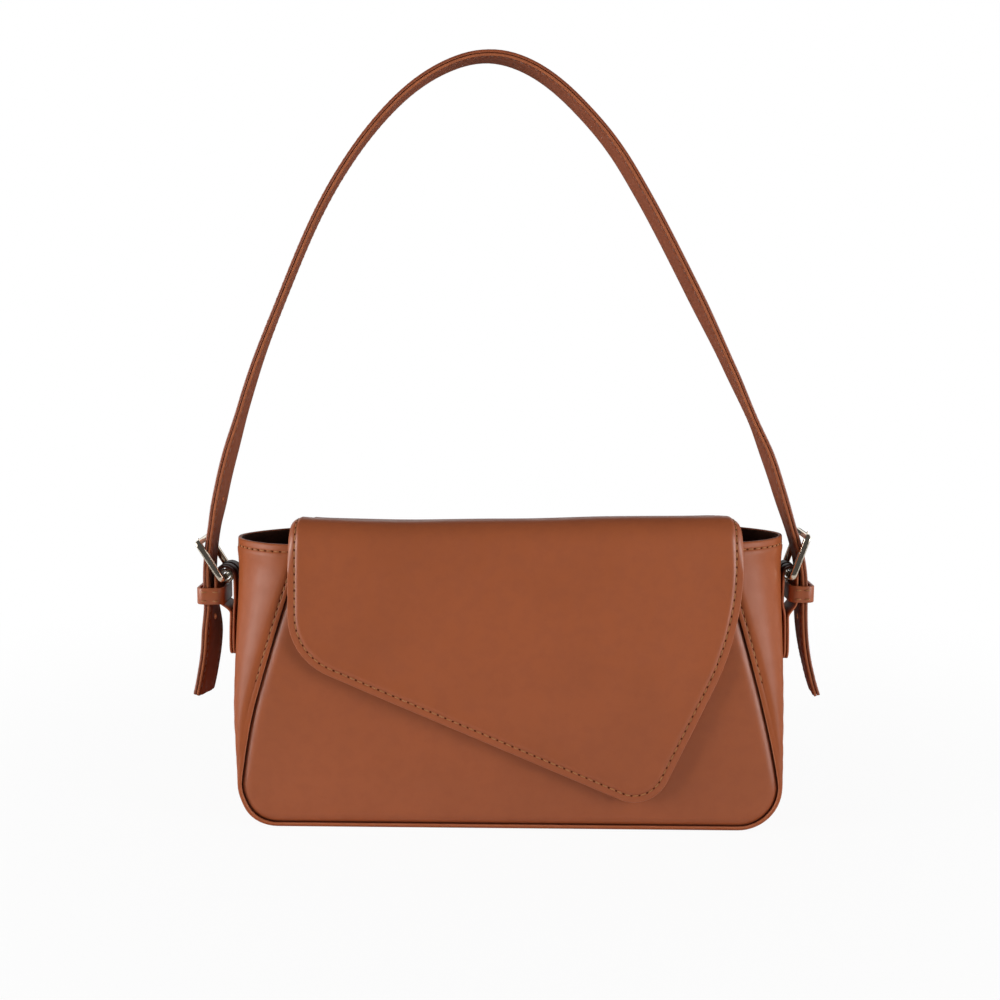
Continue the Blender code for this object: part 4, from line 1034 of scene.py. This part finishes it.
class FlapSheet:
    """The flap's unrolled outline as four chains of points, and the grid inside any inset of it."""

    EVEN_ROWS = 62
    LOW_ROWS = 46
    ROWS = EVEN_ROWS + LOW_ROWS
    COLUMNS = 46
    EVEN_RUN = 0.128

    def __init__(self):
        foot_left, foot_right = Vector((FLAP_LEFT, 0.0)), Vector((FLAP_RIGHT, 0.0))
        low_left = Vector((FLAP_LEFT, flap_run(FLAP_LEFT_CORNER[0])))
        low_right = Vector((FLAP_RIGHT, flap_run(FLAP_RIGHT_CORNER[0])))
        tip = Vector((FLAP_TIP[0], flap_run(FLAP_TIP[1])))
        foot_corner = arc(foot_right, foot_left, low_left, FLAP_FOOT_CORNER, 12)
        far_corner = arc(low_right, foot_right, foot_left, FLAP_FOOT_CORNER, 12)
        left = foot_corner[6:] + arc(foot_left, low_left, tip, FLAP_LEFT_CORNER[1], 16)
        tip_arc = arc(low_left, tip, low_right, FLAP_TIP[2], self.COLUMNS)
        right = [tip_arc[-1]] + arc(tip, low_right, foot_right, FLAP_RIGHT_CORNER[1], 24) + far_corner[:7]
        foot = Path(foot_corner[6::-1] + far_corner[:5:-1])
        foot_chain = [foot.read(d)[0] for d in np.linspace(0, foot.length, self.COLUMNS + 1)]
        self.outline = self.chain(left + [tip_arc[0]])[:-1] + tip_arc[:-1]
        self.outline += self.chain(right[::-1])[:0:-1] + foot_chain[:0:-1]
        self.inward = self.mitres(self.outline)
        self.stitch = Path(self.ring(FLAP_STITCH_INSET), closed=True)
        self.stitch_count = round(self.stitch.length / STITCH_PITCH)

    def chain(self, points):
        """Rows at even runs down to EVEN_RUN, and even along the edge beyond it."""
        path = Path(points)
        runs = [p.y for p in path.points]
        even = [runs[0] + (self.EVEN_RUN - runs[0]) * share for share in shares(self.EVEN_ROWS)]
        *places, start = [float(np.interp(run, runs, path.at)) for run in even]
        places += [start + (path.length - start) * share for share in shares(self.LOW_ROWS)]
        return [path.read(place)[0] for place in places]

    def mitres(self, outline):
        inward = []
        for i, point in enumerate(outline):
            a = (point - outline[i - 1]).normalized()
            b = (outline[(i + 1) % len(outline)] - point).normalized()
            na, nb = Vector((-a.y, a.x)), Vector((-b.y, b.x))
            inward.append((na + nb) / (1 + na.dot(nb)))
        centre = Vector((0.0, FLAP_ROUTE.length / 2))
        if sum(n.dot(centre - p) for n, p in zip(inward, outline)) < 0:
            inward = [-n for n in inward]
        return inward

    def ring(self, inset):
        return [p + n * inset for p, n in zip(self.outline, self.inward)]

    def borders(self, ring):
        """A ring's entries as the grid's left, low, right and foot border."""
        low, right = self.ROWS, self.ROWS + self.COLUMNS
        foot = right + self.ROWS
        return ring[: low + 1], ring[low : right + 1], ring[right : foot + 1][::-1], (ring[foot:] + ring[:1])[::-1]

    def inside(self, inset):
        """The grid's points inside an inset outline, a blend of its own points, row by row."""
        left, low, right, foot = self.borders(self.ring(inset))
        points = []
        for i in range(1, self.ROWS):
            down = i / self.ROWS
            for j in range(1, self.COLUMNS):
                u = j / self.COLUMNS
                point = left[i].lerp(right[i], u)
                point = point + (foot[j] - foot[0].lerp(foot[-1], u)) * (1 - down) ** 6
                points.append(point + (low[j] - low[0].lerp(low[-1], u)) * down**6)
        return points

    def edge_distance(self, points):
        """How far each point lies from the outline."""
        spots, border = [np.array([tuple(p) for p in each]) for each in (points, self.outline)]
        return np.sqrt(((spots[:, None, :] - border[None, :, :]) ** 2).sum(axis=2)).min(axis=1)

    def layer(self, name, profile, top_rise, low_rise, material):
        """A closed layer: rings along its edge's profile, and a grid inside them on both faces."""
        points, seam = [], []
        count = len(self.outline)
        for inset, rise in profile:
            for at, spot in zip(self.stitch.at, self.ring(inset)):
                points.append(flap_point(spot.x, spot.y, rise)[0])
                seam.append((at / self.stitch.length * self.stitch_count, inset / FLAP_STITCH_INSET))
        faces = loft_faces(len(profile), count, capped=False)
        for ring_index, rise_of in ((len(profile) - 1, top_rise), (0, low_rise)):
            inside = self.inside(profile[ring_index][0])
            added = list(range(len(points), len(points) + len(inside)))
            points += [flap_point(p.x, p.y, rise_of(d))[0] for p, d in zip(inside, self.edge_distance(inside))]
            seam += [UNSEWN] * len(inside)
            left, low, right, foot = self.borders(list(range(ring_index * count, (ring_index + 1) * count)))
            wide = self.COLUMNS - 1
            middle = [[left[i]] + added[(i - 1) * wide : i * wide] + [right[i]] for i in range(1, self.ROWS)]
            faces += grid_faces([foot] + middle + [low])
        return new_piece(name, points, faces, material, seam=seam, wrap=self.stitch_count)

    def stitch_place(self, rise, outward_sign=1):
        def place(n):
            run = n / self.stitch_count * self.stitch.length
            spots = [self.stitch.read(run + STITCH_HALF_LENGTH * way)[0] for way in (-1, 0, 1)]
            behind, (point, outward), ahead = [flap_point(spot.x, spot.y, rise) for spot in spots]
            return point, (ahead[0] - behind[0]).normalized(), outward * outward_sign
        return place


# As for the gusset's edge
FLAP_EDGE = (
    (0.0063, 1.0), (0.0012, 1.0), (0.0004, 0.97), (0.00008, 0.78), (0.0, 0.5), (0.00008, 0.24), (0.0003, 0.08),
)
FLAP_STEPS = (0.0009, 0.0017, 0.0025, 0.0029, 0.00315, 0.0034, 0.00365, 0.0039, 0.0044, 0.0053, 0.0063)
BACKING_GAP = 0.00006
BACKING_THREAD_SINK = 0.00005
BACKING_INSET = 0.00065
BACKING_ROUND = ((0.0066, 0.0), (0.0018, 0.0), (0.0009, 0.00008))


def make_flap():
    def face(distance):
        return relief(distance, FLAP_STITCH_INSET)

    sheet = FlapSheet()
    profile = [(d, -FLAP_LEATHER * deep) for d, deep in FLAP_EDGE] + [(d, face(d)) for d in FLAP_STEPS]
    outer = sheet.layer("flap_leather", profile, face, lambda d: -FLAP_LEATHER, TAN)
    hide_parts("flap_outer", "flap_sewn_edge")
    high = -FLAP_LEATHER - BACKING_GAP
    base = high - FLAP_LINING
    profile = [(d, base + up) for d, up in BACKING_ROUND] + [(BACKING_INSET, (base + high) / 2)]
    profile += [(d, high - down) for d, down in BACKING_ROUND[::-1]]
    backing = sheet.layer("flap_backing", profile, lambda d: high, lambda d: base, FLAP_BACKING)
    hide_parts("flap_lining")
    threads = add_stitches("flap_thread", sheet.stitch_place(-THREAD_SINK), sheet.stitch_count, THREAD)
    place_under = sheet.stitch_place(base + BACKING_THREAD_SINK, -1)
    under = add_stitches("flap_under_thread", place_under, sheet.stitch_count, THREAD)
    for piece in (outer, backing, threads, under):
        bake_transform(piece)


# Tabs, buckles, keepers and strap

ACROSS = Vector((0.0, 1.0, 0.0))
# (distance in from the edge, share of the leather's thickness over its back)
STRIP_EDGE = ((0.0010, 0.0), (0.0003, 0.05), (0.00005, 0.25), (0.0, 0.5), (0.00005, 0.75), (0.0003, 0.95))
STRIP_STEPS = (0.0009, 0.0015, 0.0017, 0.00195, 0.0022, 0.00245, 0.0027, 0.0034)
STRIP_END_SHARES = (0.0, 0.06, 0.2, 0.4, 0.7)
STRIP_RELIEF = 0.7


class Side:
    """Where each piece of one side's tab, buckle, keeper and strap end stands, in (outward, up)."""

    def __init__(self, name, sizes):
        vars(self).update(sizes, name=name)
        self.inner_leg = side_wall(self.tab_loop_height) + self.tab_standoff + TAB_STAND
        self.outer_leg = self.inner_leg + self.tab_loop_width
        self.along = Vector((math.sin(self.frame_tilt), math.cos(self.frame_tilt)))
        self.outward = Vector((self.along.y, -self.along.x))
        self.heel = Vector((self.outer_leg - self.heel_inset, self.heel_height))
        self.top_bar = self.heel + self.along * (FRAME_LENGTH - FRAME_BAR)
        self.strap = self.outer_leg + TAB_STAND + self.strap_clearance + STRAP_THICKNESS / 2
        rest = FRAME_THICKNESS / 2 + GAP + PRONG_RADIUS
        self.prong_start = self.heel + self.outward * PRONG_RING_RADIUS
        self.prong_tip = self.top_bar + self.outward * rest + self.along * PRONG_TIP_BEYOND

    def point(self, spot):
        return Vector((self.sign * spot[0], 0.0, spot[1]))

    def strap_points(self):
        """The strap's end and leg as (x, z), from the tail up."""
        points = []
        for share in shares(5)[::-1]:
            height = TAIL_TOP - (TAIL_TOP - self.tail_end) * share
            aside = self.tail_flare * share**2 - self.tail_tuck * smooth((TAIL_TUCK_TOP - height) / TAIL_TUCK_REACH)
            points.append((self.strap + aside, height))
        reach = self.strap - self.sign * STRAP_APEX[0]
        rise = STRAP_APEX[1] - self.strap_start
        points += [(self.strap - reach * a, self.strap_start + rise * b) for a, b in [(0.0, 0.0), *self.leg_shares]]
        return [Vector((self.sign * x, z)) for x, z in points]


LEFT, RIGHT = Side("left", LEFT_SIZES), Side("right", RIGHT_SIZES)


def strip_section(width, foot, face):
    """A leather strip's section as (across, rise, from edge), with sewn relief on its face."""
    half = width / 2
    middle = half - STRIP_STEPS[-1]
    way = math.copysign(STRIP_RELIEF, face - foot)
    section = [(d, foot + (face - foot) * share, 0.0 if share > 0.1 else UNSEEN) for d, share in STRIP_EDGE]
    for d in [*STRIP_STEPS] + [STRIP_STEPS[-1] + middle * share for share in shares(4)[1:]]:
        section.append((d, face + relief(d, STRAP_STITCH_INSET) * way, d))
    return [(d - half, *rest) for d, *rest in section] + [(half - d, *rest) for d, *rest in section[-2::-1]]


def strip_axes(spot, travel):
    """(across, outward) of a strip at a place. The strap's legs are a little twisted above the bag."""
    side, twists = (LEFT, STRAP_LEFT_TWISTS) if spot.x < STRAP_APEX[0] else (RIGHT, STRAP_RIGHT_TWISTS)
    on_tab = abs(spot.x) < side.strap - STRAP_THICKNESS and spot.y < STRAP_FREE_HEIGHT
    twist = 0.0 if on_tab else math.radians(travel.y * between(twists, spot.y))
    out = Vector((-travel.y, 0.0, travel.x))
    return ACROSS * math.cos(twist) + out * math.sin(twist), out * math.cos(twist) - ACROSS * math.sin(twist)


def sweep_strip(name, route, section, material, end_round, step=0.003):
    """A strip swept along an (x, z) route, its outer face to the left of travel."""
    path = Path(route)
    ends = [end_round * share for share in STRIP_END_SHARES]
    marks = sorted({round(mark, 6) for mark in path.steps(step) + ends + [path.length - end for end in ends]})
    count = max(1, round(path.length / STITCH_PITCH))
    half = max(across for across, _, _ in section)
    rings, seam = [], []
    for mark in marks:
        spot, travel = path.read(mark)
        along, out = strip_axes(spot, travel)
        cut_in = end_round - min(mark, path.length - mark, end_round)
        scale = (half - end_round + math.sqrt(max(0.0, end_round**2 - cut_in**2))) / half
        centre = Vector((spot.x, 0.0, spot.y))
        rings.append([centre + out * rise + along * across * scale for across, rise, _ in section])
        seam += [(mark / path.length * count, edge / STRAP_STITCH_INSET) for _, _, edge in section]
    return loft(name, rings, material, seam=seam), path, count


def strip_threads(name, path, count, width, rise, first, last, body=None, material=THREAD):
    """Threads along both edges of a strip, on its outer face or under it where the rise is below 0."""
    made = []
    for label, edge in (("near", -1), ("far", 1)):
        def place(n, edge=edge):
            spot, travel = path.read(n / count * path.length)
            along, out = strip_axes(spot, travel)
            point = Vector((spot.x, 0.0, spot.y)) + out * rise + along * edge * (width / 2 - STRAP_STITCH_INSET)
            return point, Vector((travel.x, 0, travel.y)), out * math.copysign(1, rise)
        made.append(add_stitches(f"{name}_{label}_thread", place, last - first, material, first, body))
    return made


def strap_route():
    points = LEFT.strap_points() + [Vector((STRAP_APEX[0], STRAP_APEX[1] + STRAP_APEX_RISE))]
    path = Path(smooth_route(points + RIGHT.strap_points()[::-1], STRAP_ROUTE_STEP))
    points = path.eased(STRAP_EASE, STRAP_ROUTE_STEP).points
    return [Vector((p.x - STRAP_LEAN * ramp(p.y, *STRAP_LEAN_SPAN), p.y)) for p in points]


def strap_cutters(route):
    """The prongs' slots, and a punched hole one pitch above and one below each."""
    made = []
    for side in (LEFT, RIGHT):
        start, end = side.prong_start, side.prong_tip
        for label, tip in (("closed", end), ("opened", end + side.outward * PRONG_OPENING)):
            name = f"{side.name}_{label}_slot"
            made.append(cylinder(name, side.point(start), side.point(tip), PRONG_RADIUS + SLOT_CLEARANCE))
        near = [(a, b) for a, b in zip(route, route[1:]) if a.x * side.sign > 0]
        for height in [(start.y + end.y) / 2 + STRAP_HOLE_PITCH * way for way in (1, -1)]:
            a, b = min(near, key=lambda pair: abs(pair[0].y - height))
            travel = (b - a).normalized()
            way = Vector((-travel.y, 0.0, travel.x)) * STRAP_HOLE_CUT
            centre = Vector((a.x + b.x, 0.0, a.y + b.y)) / 2
            made.append(cylinder(side.name + "_hole", centre - way, centre + way, STRAP_HOLE_RADIUS))
    return made


def make_strap():
    route = strap_route()
    cutters = strap_cutters(route)
    foot, face = STRAP_SEAM / 2, STRAP_SEAM / 2 + STRAP_LEATHER
    layers = []
    for name, material, way in (("strap_leather", STRAP_TAN, 1), ("strap_backing", UNDERSIDE, -1)):
        section = strip_section(STRAP_WIDTH, way * foot, way * face)
        layer, path, count = sweep_strip(name, route, section, material, STRAP_END_ROUND)
        cut(layer, cutters)
        layers.append(layer)
    for cutter in cutters:
        bpy.data.objects.remove(cutter)
    stand_for(layers[0], "tan_leather", "strap", "strap_outer")
    stand_for(layers[1], "strap_underside", "strap", "strap_lining")
    rise = face - STRAP_THREAD_SINK
    for name, way, material in (("strap", 1, THREAD), ("strap_under", -1, UNDER_THREAD)):
        strip_threads(name, path, count, STRAP_WIDTH, way * rise, 1, count - 1, "strap", material)


def tab_leg(sewn, reach):
    def wall(height):
        return side_wall(height) + side_nose(side_share(height)) + sewn

    heights = [TAB_FOOT_HEIGHT + (TAB_PART_HEIGHT - TAB_FOOT_HEIGHT) * share for share in shares(5)[:-1]]
    low = wall(TAB_PART_HEIGHT)
    points = [Vector((wall(height), height)) for height in heights]
    for share in shares(8):
        points.append(Vector((low + (reach - low) * smooth(share), TAB_PART_HEIGHT + TAB_LEG_RISE * share)))
    return points


def make_tab(side):
    """A leather loop sewn to the side, with a slot for the prong and painted shade darkening it where it bends."""
    radius, loop_z, sign = side.tab_loop_width / 2, side.tab_loop_height, side.sign
    middle = (side.inner_leg + side.outer_leg) / 2
    angles = [math.pi * (1 - share) for share in shares(20)[1:-1]]
    fold = [Vector((middle + radius * math.cos(angle), loop_z + radius * math.sin(angle))) for angle in angles]
    sewn = GAP + TAB_LEATHER / 2
    inner, outer = tab_leg(sewn, side.inner_leg), tab_leg(sewn + TAB_LEATHER + GAP, side.outer_leg)
    route = [Vector((sign * p.x, p.y)) for p in (inner + fold + outer[::-1])[::sign]]
    name = side.name + "_tab_leather"
    section = strip_section(TAB_WIDTH, -TAB_LEATHER / 2, TAB_LEATHER / 2)
    tab, path, count = sweep_strip(name, route, section, TAB_TAN, TAB_END_ROUND, step=0.0012)
    heel_top = side.heel.y - PRONG_RING_RADIUS
    near, far = sorted((sign * (side.inner_leg - TAB_LEATHER), sign * (side.outer_leg + TAB_LEATHER)))
    low, high = heel_top - PRONG_RADIUS - GAP, loop_z + radius + TAB_LEATHER
    slot = block("tab_slot", (near, -TAB_SLOT / 2, low), (far, TAB_SLOT / 2, high))
    cut(tab, [slot])
    bpy.data.objects.remove(slot)
    # Painted shade over the loop's fold, rising from below its bend to full over the top.
    fold_shade = tab.data.attributes.new("fold_shade", "FLOAT", "POINT")
    bend = loop_z - radius, FOLD_SHADE_REACH * radius
    fold_shade.data.foreach_set("value", [smooth((v.co.z - bend[0]) / bend[1]) for v in tab.data.vertices])
    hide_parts(side.name + "_tab")
    sewn_count = (TAB_PART_HEIGHT - TAB_FOOT_HEIGHT) / path.length * count
    first, last = (1, math.floor(sewn_count)) if sign < 0 else (math.ceil(count - sewn_count), count - 1)
    rise = TAB_LEATHER / 2 - STRAP_THREAD_SINK
    threads = strip_threads(side.name + "_tab", path, count, TAB_WIDTH, rise, first, last)
    start, end = side.point((middle, TAB_PART_HEIGHT)), side.point((middle, heel_top))
    for piece in [tab] + threads:
        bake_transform(piece)


def rounded_loop(half_x, half_y, radius, steps=7, straight=5):
    """Anticlockwise points and outward directions round a rectangle with round corners."""
    corners = [corner for _, _, corner in corner_arcs(half_x, half_y, radius, steps)]
    loop = []
    for corner, following in zip(corners, corners[1:] + corners[:1]):
        last, out = corner[-1]
        loop += corner + [(last.lerp(following[0][0], share), out) for share in shares(straight)[1:-1]]
    return loop


def rounded_section(width, height, radius):
    """(across, up) points of a small rounded rectangle about its middle."""
    return [spot for _, _, corner in corner_arcs(width / 2, height / 2, radius, 4) for spot, _ in corner]


def make_keeper(side):
    """A leather band round the strap and its tail, a little bowed, with two threads sewn through at each end."""
    inner_edge = side.outer_leg - TAB_LEATHER / 2 - side.keeper_inner_room
    outer_edge = side.strap + STRAP_THICKNESS / 2 + KEEPER_OUTER_ROOM
    half_x = (outer_edge - inner_edge) / 2 + KEEPER_LEATHER / 2
    half_y = STRAP_WIDTH / 2 + KEEPER_ROOM + KEEPER_LEATHER / 2
    centre = side.point(((inner_edge + outer_edge) / 2, side.keeper_height))

    def bow(x, up):
        return KEEPER_BOW * (1 - (x / half_x) ** 2) * (1 - (up / KEEPER_HEIGHT * 2) ** 2)

    rings = []
    for spot, out in rounded_loop(half_x, half_y, KEEPER_CORNER):
        ring = []
        for across, up in rounded_section(KEEPER_LEATHER, KEEPER_HEIGHT, KEEPER_EDGE):
            at = spot + out * (across + (bow(spot.x, up) if abs(out.y) > 0.9 else 0.0))
            ring.append(centre + Vector((at.x, at.y, up)))
        rings.append(ring)
    keeper = loft(side.name + "_keeper_band", rings, TAN, closed=True)
    stand_for(keeper, "tan_leather", "strap", side.name + "_keeper")
    spots = []
    for face, end, way in product((-1, 1), repeat=3):
        x, up = end * (half_x - KEEPER_THREAD_INSET), way * KEEPER_THREAD_RISE
        y = face * (half_y + KEEPER_LEATHER / 2 + bow(x, up))
        spots.append((centre + Vector((x, y, up)), Vector((1, 0, 0)), Vector((0, face, 0))))
    add_stitches(side.name + "_keeper_thread", lambda n: spots[int(n)], len(spots), THREAD, 0, "strap")


def make_frame(side):
    half_long = FRAME_LENGTH / 2 - FRAME_BAR / 2
    half_wide = STRAP_WIDTH / 2 + FRAME_CLEARANCE + FRAME_SIDE_BAR / 2
    centre = side.point((side.heel + side.top_bar) / 2)
    along, facing = side.point(side.along), side.point(side.outward)
    rings = []
    for spot, out in rounded_loop(half_long, half_wide, FRAME_CORNER, steps=9, straight=6):
        girth = FRAME_BAR if abs(out.x) > abs(out.y) else FRAME_SIDE_BAR
        deep = FRAME_THICKNESS + FRAME_SIDE_EXTRA * smooth((abs(out.y) - 0.3) / 0.7)
        places = [(spot + out * inward, up) for inward, up in rounded_section(girth, deep, FRAME_EDGE)]
        rings.append([centre + along * at.x + ACROSS * at.y + facing * up for at, up in places])
    buckle = loft(side.name + "_buckle", rings, GOLD, closed=True, sharp=60)
    stand_for(buckle, "pale_gold_metal", "strap", side.name + "_buckle_frame")


def make_prong(side):
    """A wire wrapped round the heel bar, tapering to a tip that bends over the top bar."""
    start, end = side.prong_start, side.prong_tip
    points, girths = [], []
    for share in shares(28)[:-1]:
        angle = 2 * math.pi * PRONG_WRAP * (1 - share)
        turn = side.outward * math.cos(angle) - side.along * math.sin(angle)
        points.append(side.heel + turn * PRONG_RING_RADIUS)
        girths.append(0.92)
    length = (end - start).length
    for share in shares(24):
        points.append(start.lerp(end, share) - side.outward * PRONG_BEND * smooth((share - 0.86) / 0.14))
        tip = smooth((share - 1) * length / PRONG_RADIUS + 1)
        girths.append(0.97 - 0.25 * smooth((share - 0.6) / 0.4) - 0.35 * tip)
    path = Path(points)
    rings = []
    for point, travel, girth in zip(path.points, path.travel, girths):
        out = side.point((-travel.y, travel.x))
        rings.append(circle(side.point(point), out, ACROSS, PRONG_RADIUS * girth, 14))
    prong = loft(side.name + "_prong_wire", rings, GOLD, sharp=60)
    stand_for(prong, "pale_gold_metal", side.name + "_prong", side.name + "_buckle_prong")


def finish_cad_nodes():
    """New finishes for the model's nodes that stay as they are."""
    snap = [("snap_" + end, SNAP_METAL) for end in ("socket", "socket_washer", "stud", "stud_washer")]
    for name, material in snap + [("base_board", BOARD)]:
        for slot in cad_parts[name].material_slots:
            slot.material = material


# Stage, light and camera

FLOOR = (-3.0, -0.40, -0.02), (3.0, 3.0, -0.0002)
FLOOR_LIT = 0.06
FLOOR_FADE = (0.13, 0.60)
WORLD_LIGHT = 0.20
WORLD_MIRRORED = 0.07
WHITE = (1, 1, 1, 1)
WALLS = (
    ("left_wall", (-2.02, -0.90, -0.10), (-2.0, 2.0, 1.4)),
    ("right_wall", (2.0, -0.90, -0.10), (2.02, 2.0, 1.4)),
    ("back_wall", (-2.02, 2.0, 0.45), (2.02, 2.02, 1.4)),
)
LAMP_TARGET = Vector((0.0, 0.0, 0.09))
LAMP_SIZE = (0.80, 1.00)
LAMPS = (("left_softbox", (-1.39, -0.56, 0.26), 20.5), ("right_softbox", (1.30, -0.75, 0.26), 17.0))


def white_surface(name, share_lit, fade_start, fade_end, mirrored_white=False):
    """White that the camera sees as white, with a share of real light near the object for its shadow."""
    nodes, place = new_material(name)
    lit = nodes.add("ShaderNodeBsdfDiffuse", {"Color": tint(WHITE[:3], 0.92)})
    glow = nodes.add("ShaderNodeEmission", {"Color": WHITE, "Strength": 1.0})
    seen = nodes.seen()
    if mirrored_white:
        seen = nodes.maths("MAXIMUM", seen, nodes.ray("Is Glossy Ray"))
    away = nodes.add("ShaderNodeVectorMath", {0: place}, operation="LENGTH").outputs["Value"]
    white = nodes.span(away, fade_start, fade_end, 1 - share_lit, 1.0)
    factor = nodes.maths("MULTIPLY", seen, white)
    return nodes.finish(nodes.add("ShaderNodeMixShader", {0: factor, 1: lit.outputs[0], 2: glow.outputs[0]}))


def make_stage():
    pale = white_surface("pale_floor", FLOOR_LIT, *FLOOR_FADE)
    walls = white_surface("white_walls", 0.0, 0.0, 1.0, mirrored_white=True)
    for name, low, high in (("floor", *FLOOR), *WALLS):
        surface = block(name, low, high)
        surface.data.materials.append(pale if name == "floor" else walls)
    world = bpy.data.worlds.new("pale_room")
    bpy.context.scene.world = world
    nodes = Nodes(world, "ShaderNodeOutputWorld")
    unseen = nodes.span(nodes.ray("Is Glossy Ray"), 0.0, 1.0, WORLD_LIGHT, WORLD_MIRRORED, "LINEAR")
    strength = nodes.span(nodes.seen(), 0.0, 1.0, unseen, 1.0, "LINEAR")
    nodes.finish(nodes.add("ShaderNodeBackground", {"Color": WHITE, "Strength": strength}))


def make_lamps():
    for name, place, power in LAMPS:
        lamp = bpy.data.lights.new(name, "AREA")
        lamp.shape = "RECTANGLE"
        lamp.size, lamp.size_y = LAMP_SIZE
        lamp.energy = power
        obj = add_object(name, lamp)
        obj.location = place
        obj.rotation_mode = "QUATERNION"
        obj.rotation_quaternion = (LAMP_TARGET - Vector(place)).to_track_quat("-Z", "Y")


def make_camera():
    camera = bpy.data.cameras.new("camera")
    camera.lens = CAMERA_LENS
    camera.sensor_width = CAMERA_SENSOR
    camera.clip_start = 0.01
    obj = add_object("camera", camera)
    level = Vector((-math.sin(CAMERA_YAW), math.cos(CAMERA_YAW), 0.0)) * math.cos(CAMERA_PITCH)
    forward = level - Vector((0.0, 0.0, math.sin(CAMERA_PITCH)))
    right = forward.cross(Vector((0, 0, 1))).normalized()
    up = right.cross(forward)
    turned_right = right * math.cos(CAMERA_ROLL) + up * math.sin(CAMERA_ROLL)
    turned_up = up * math.cos(CAMERA_ROLL) - right * math.sin(CAMERA_ROLL)
    turn = Matrix((turned_right, turned_up, -forward)).transposed().to_4x4()
    obj.matrix_world = Matrix.Translation(CAMERA_PLACE) @ turn
    bpy.context.scene.camera = obj


make_camera()
make_stage()
make_lamps()
bpy.context.scene.view_settings.view_transform = "Standard"
make_gusset()
make_panel("front_body", "front_panel", -1)
make_panel("back_body", "back_panel", 1)
make_lining()
make_flap()
make_strap()
for each_side in (LEFT, RIGHT):
    make_tab(each_side)
    make_keeper(each_side)
    make_frame(each_side)
    make_prong(each_side)
finish_cad_nodes()
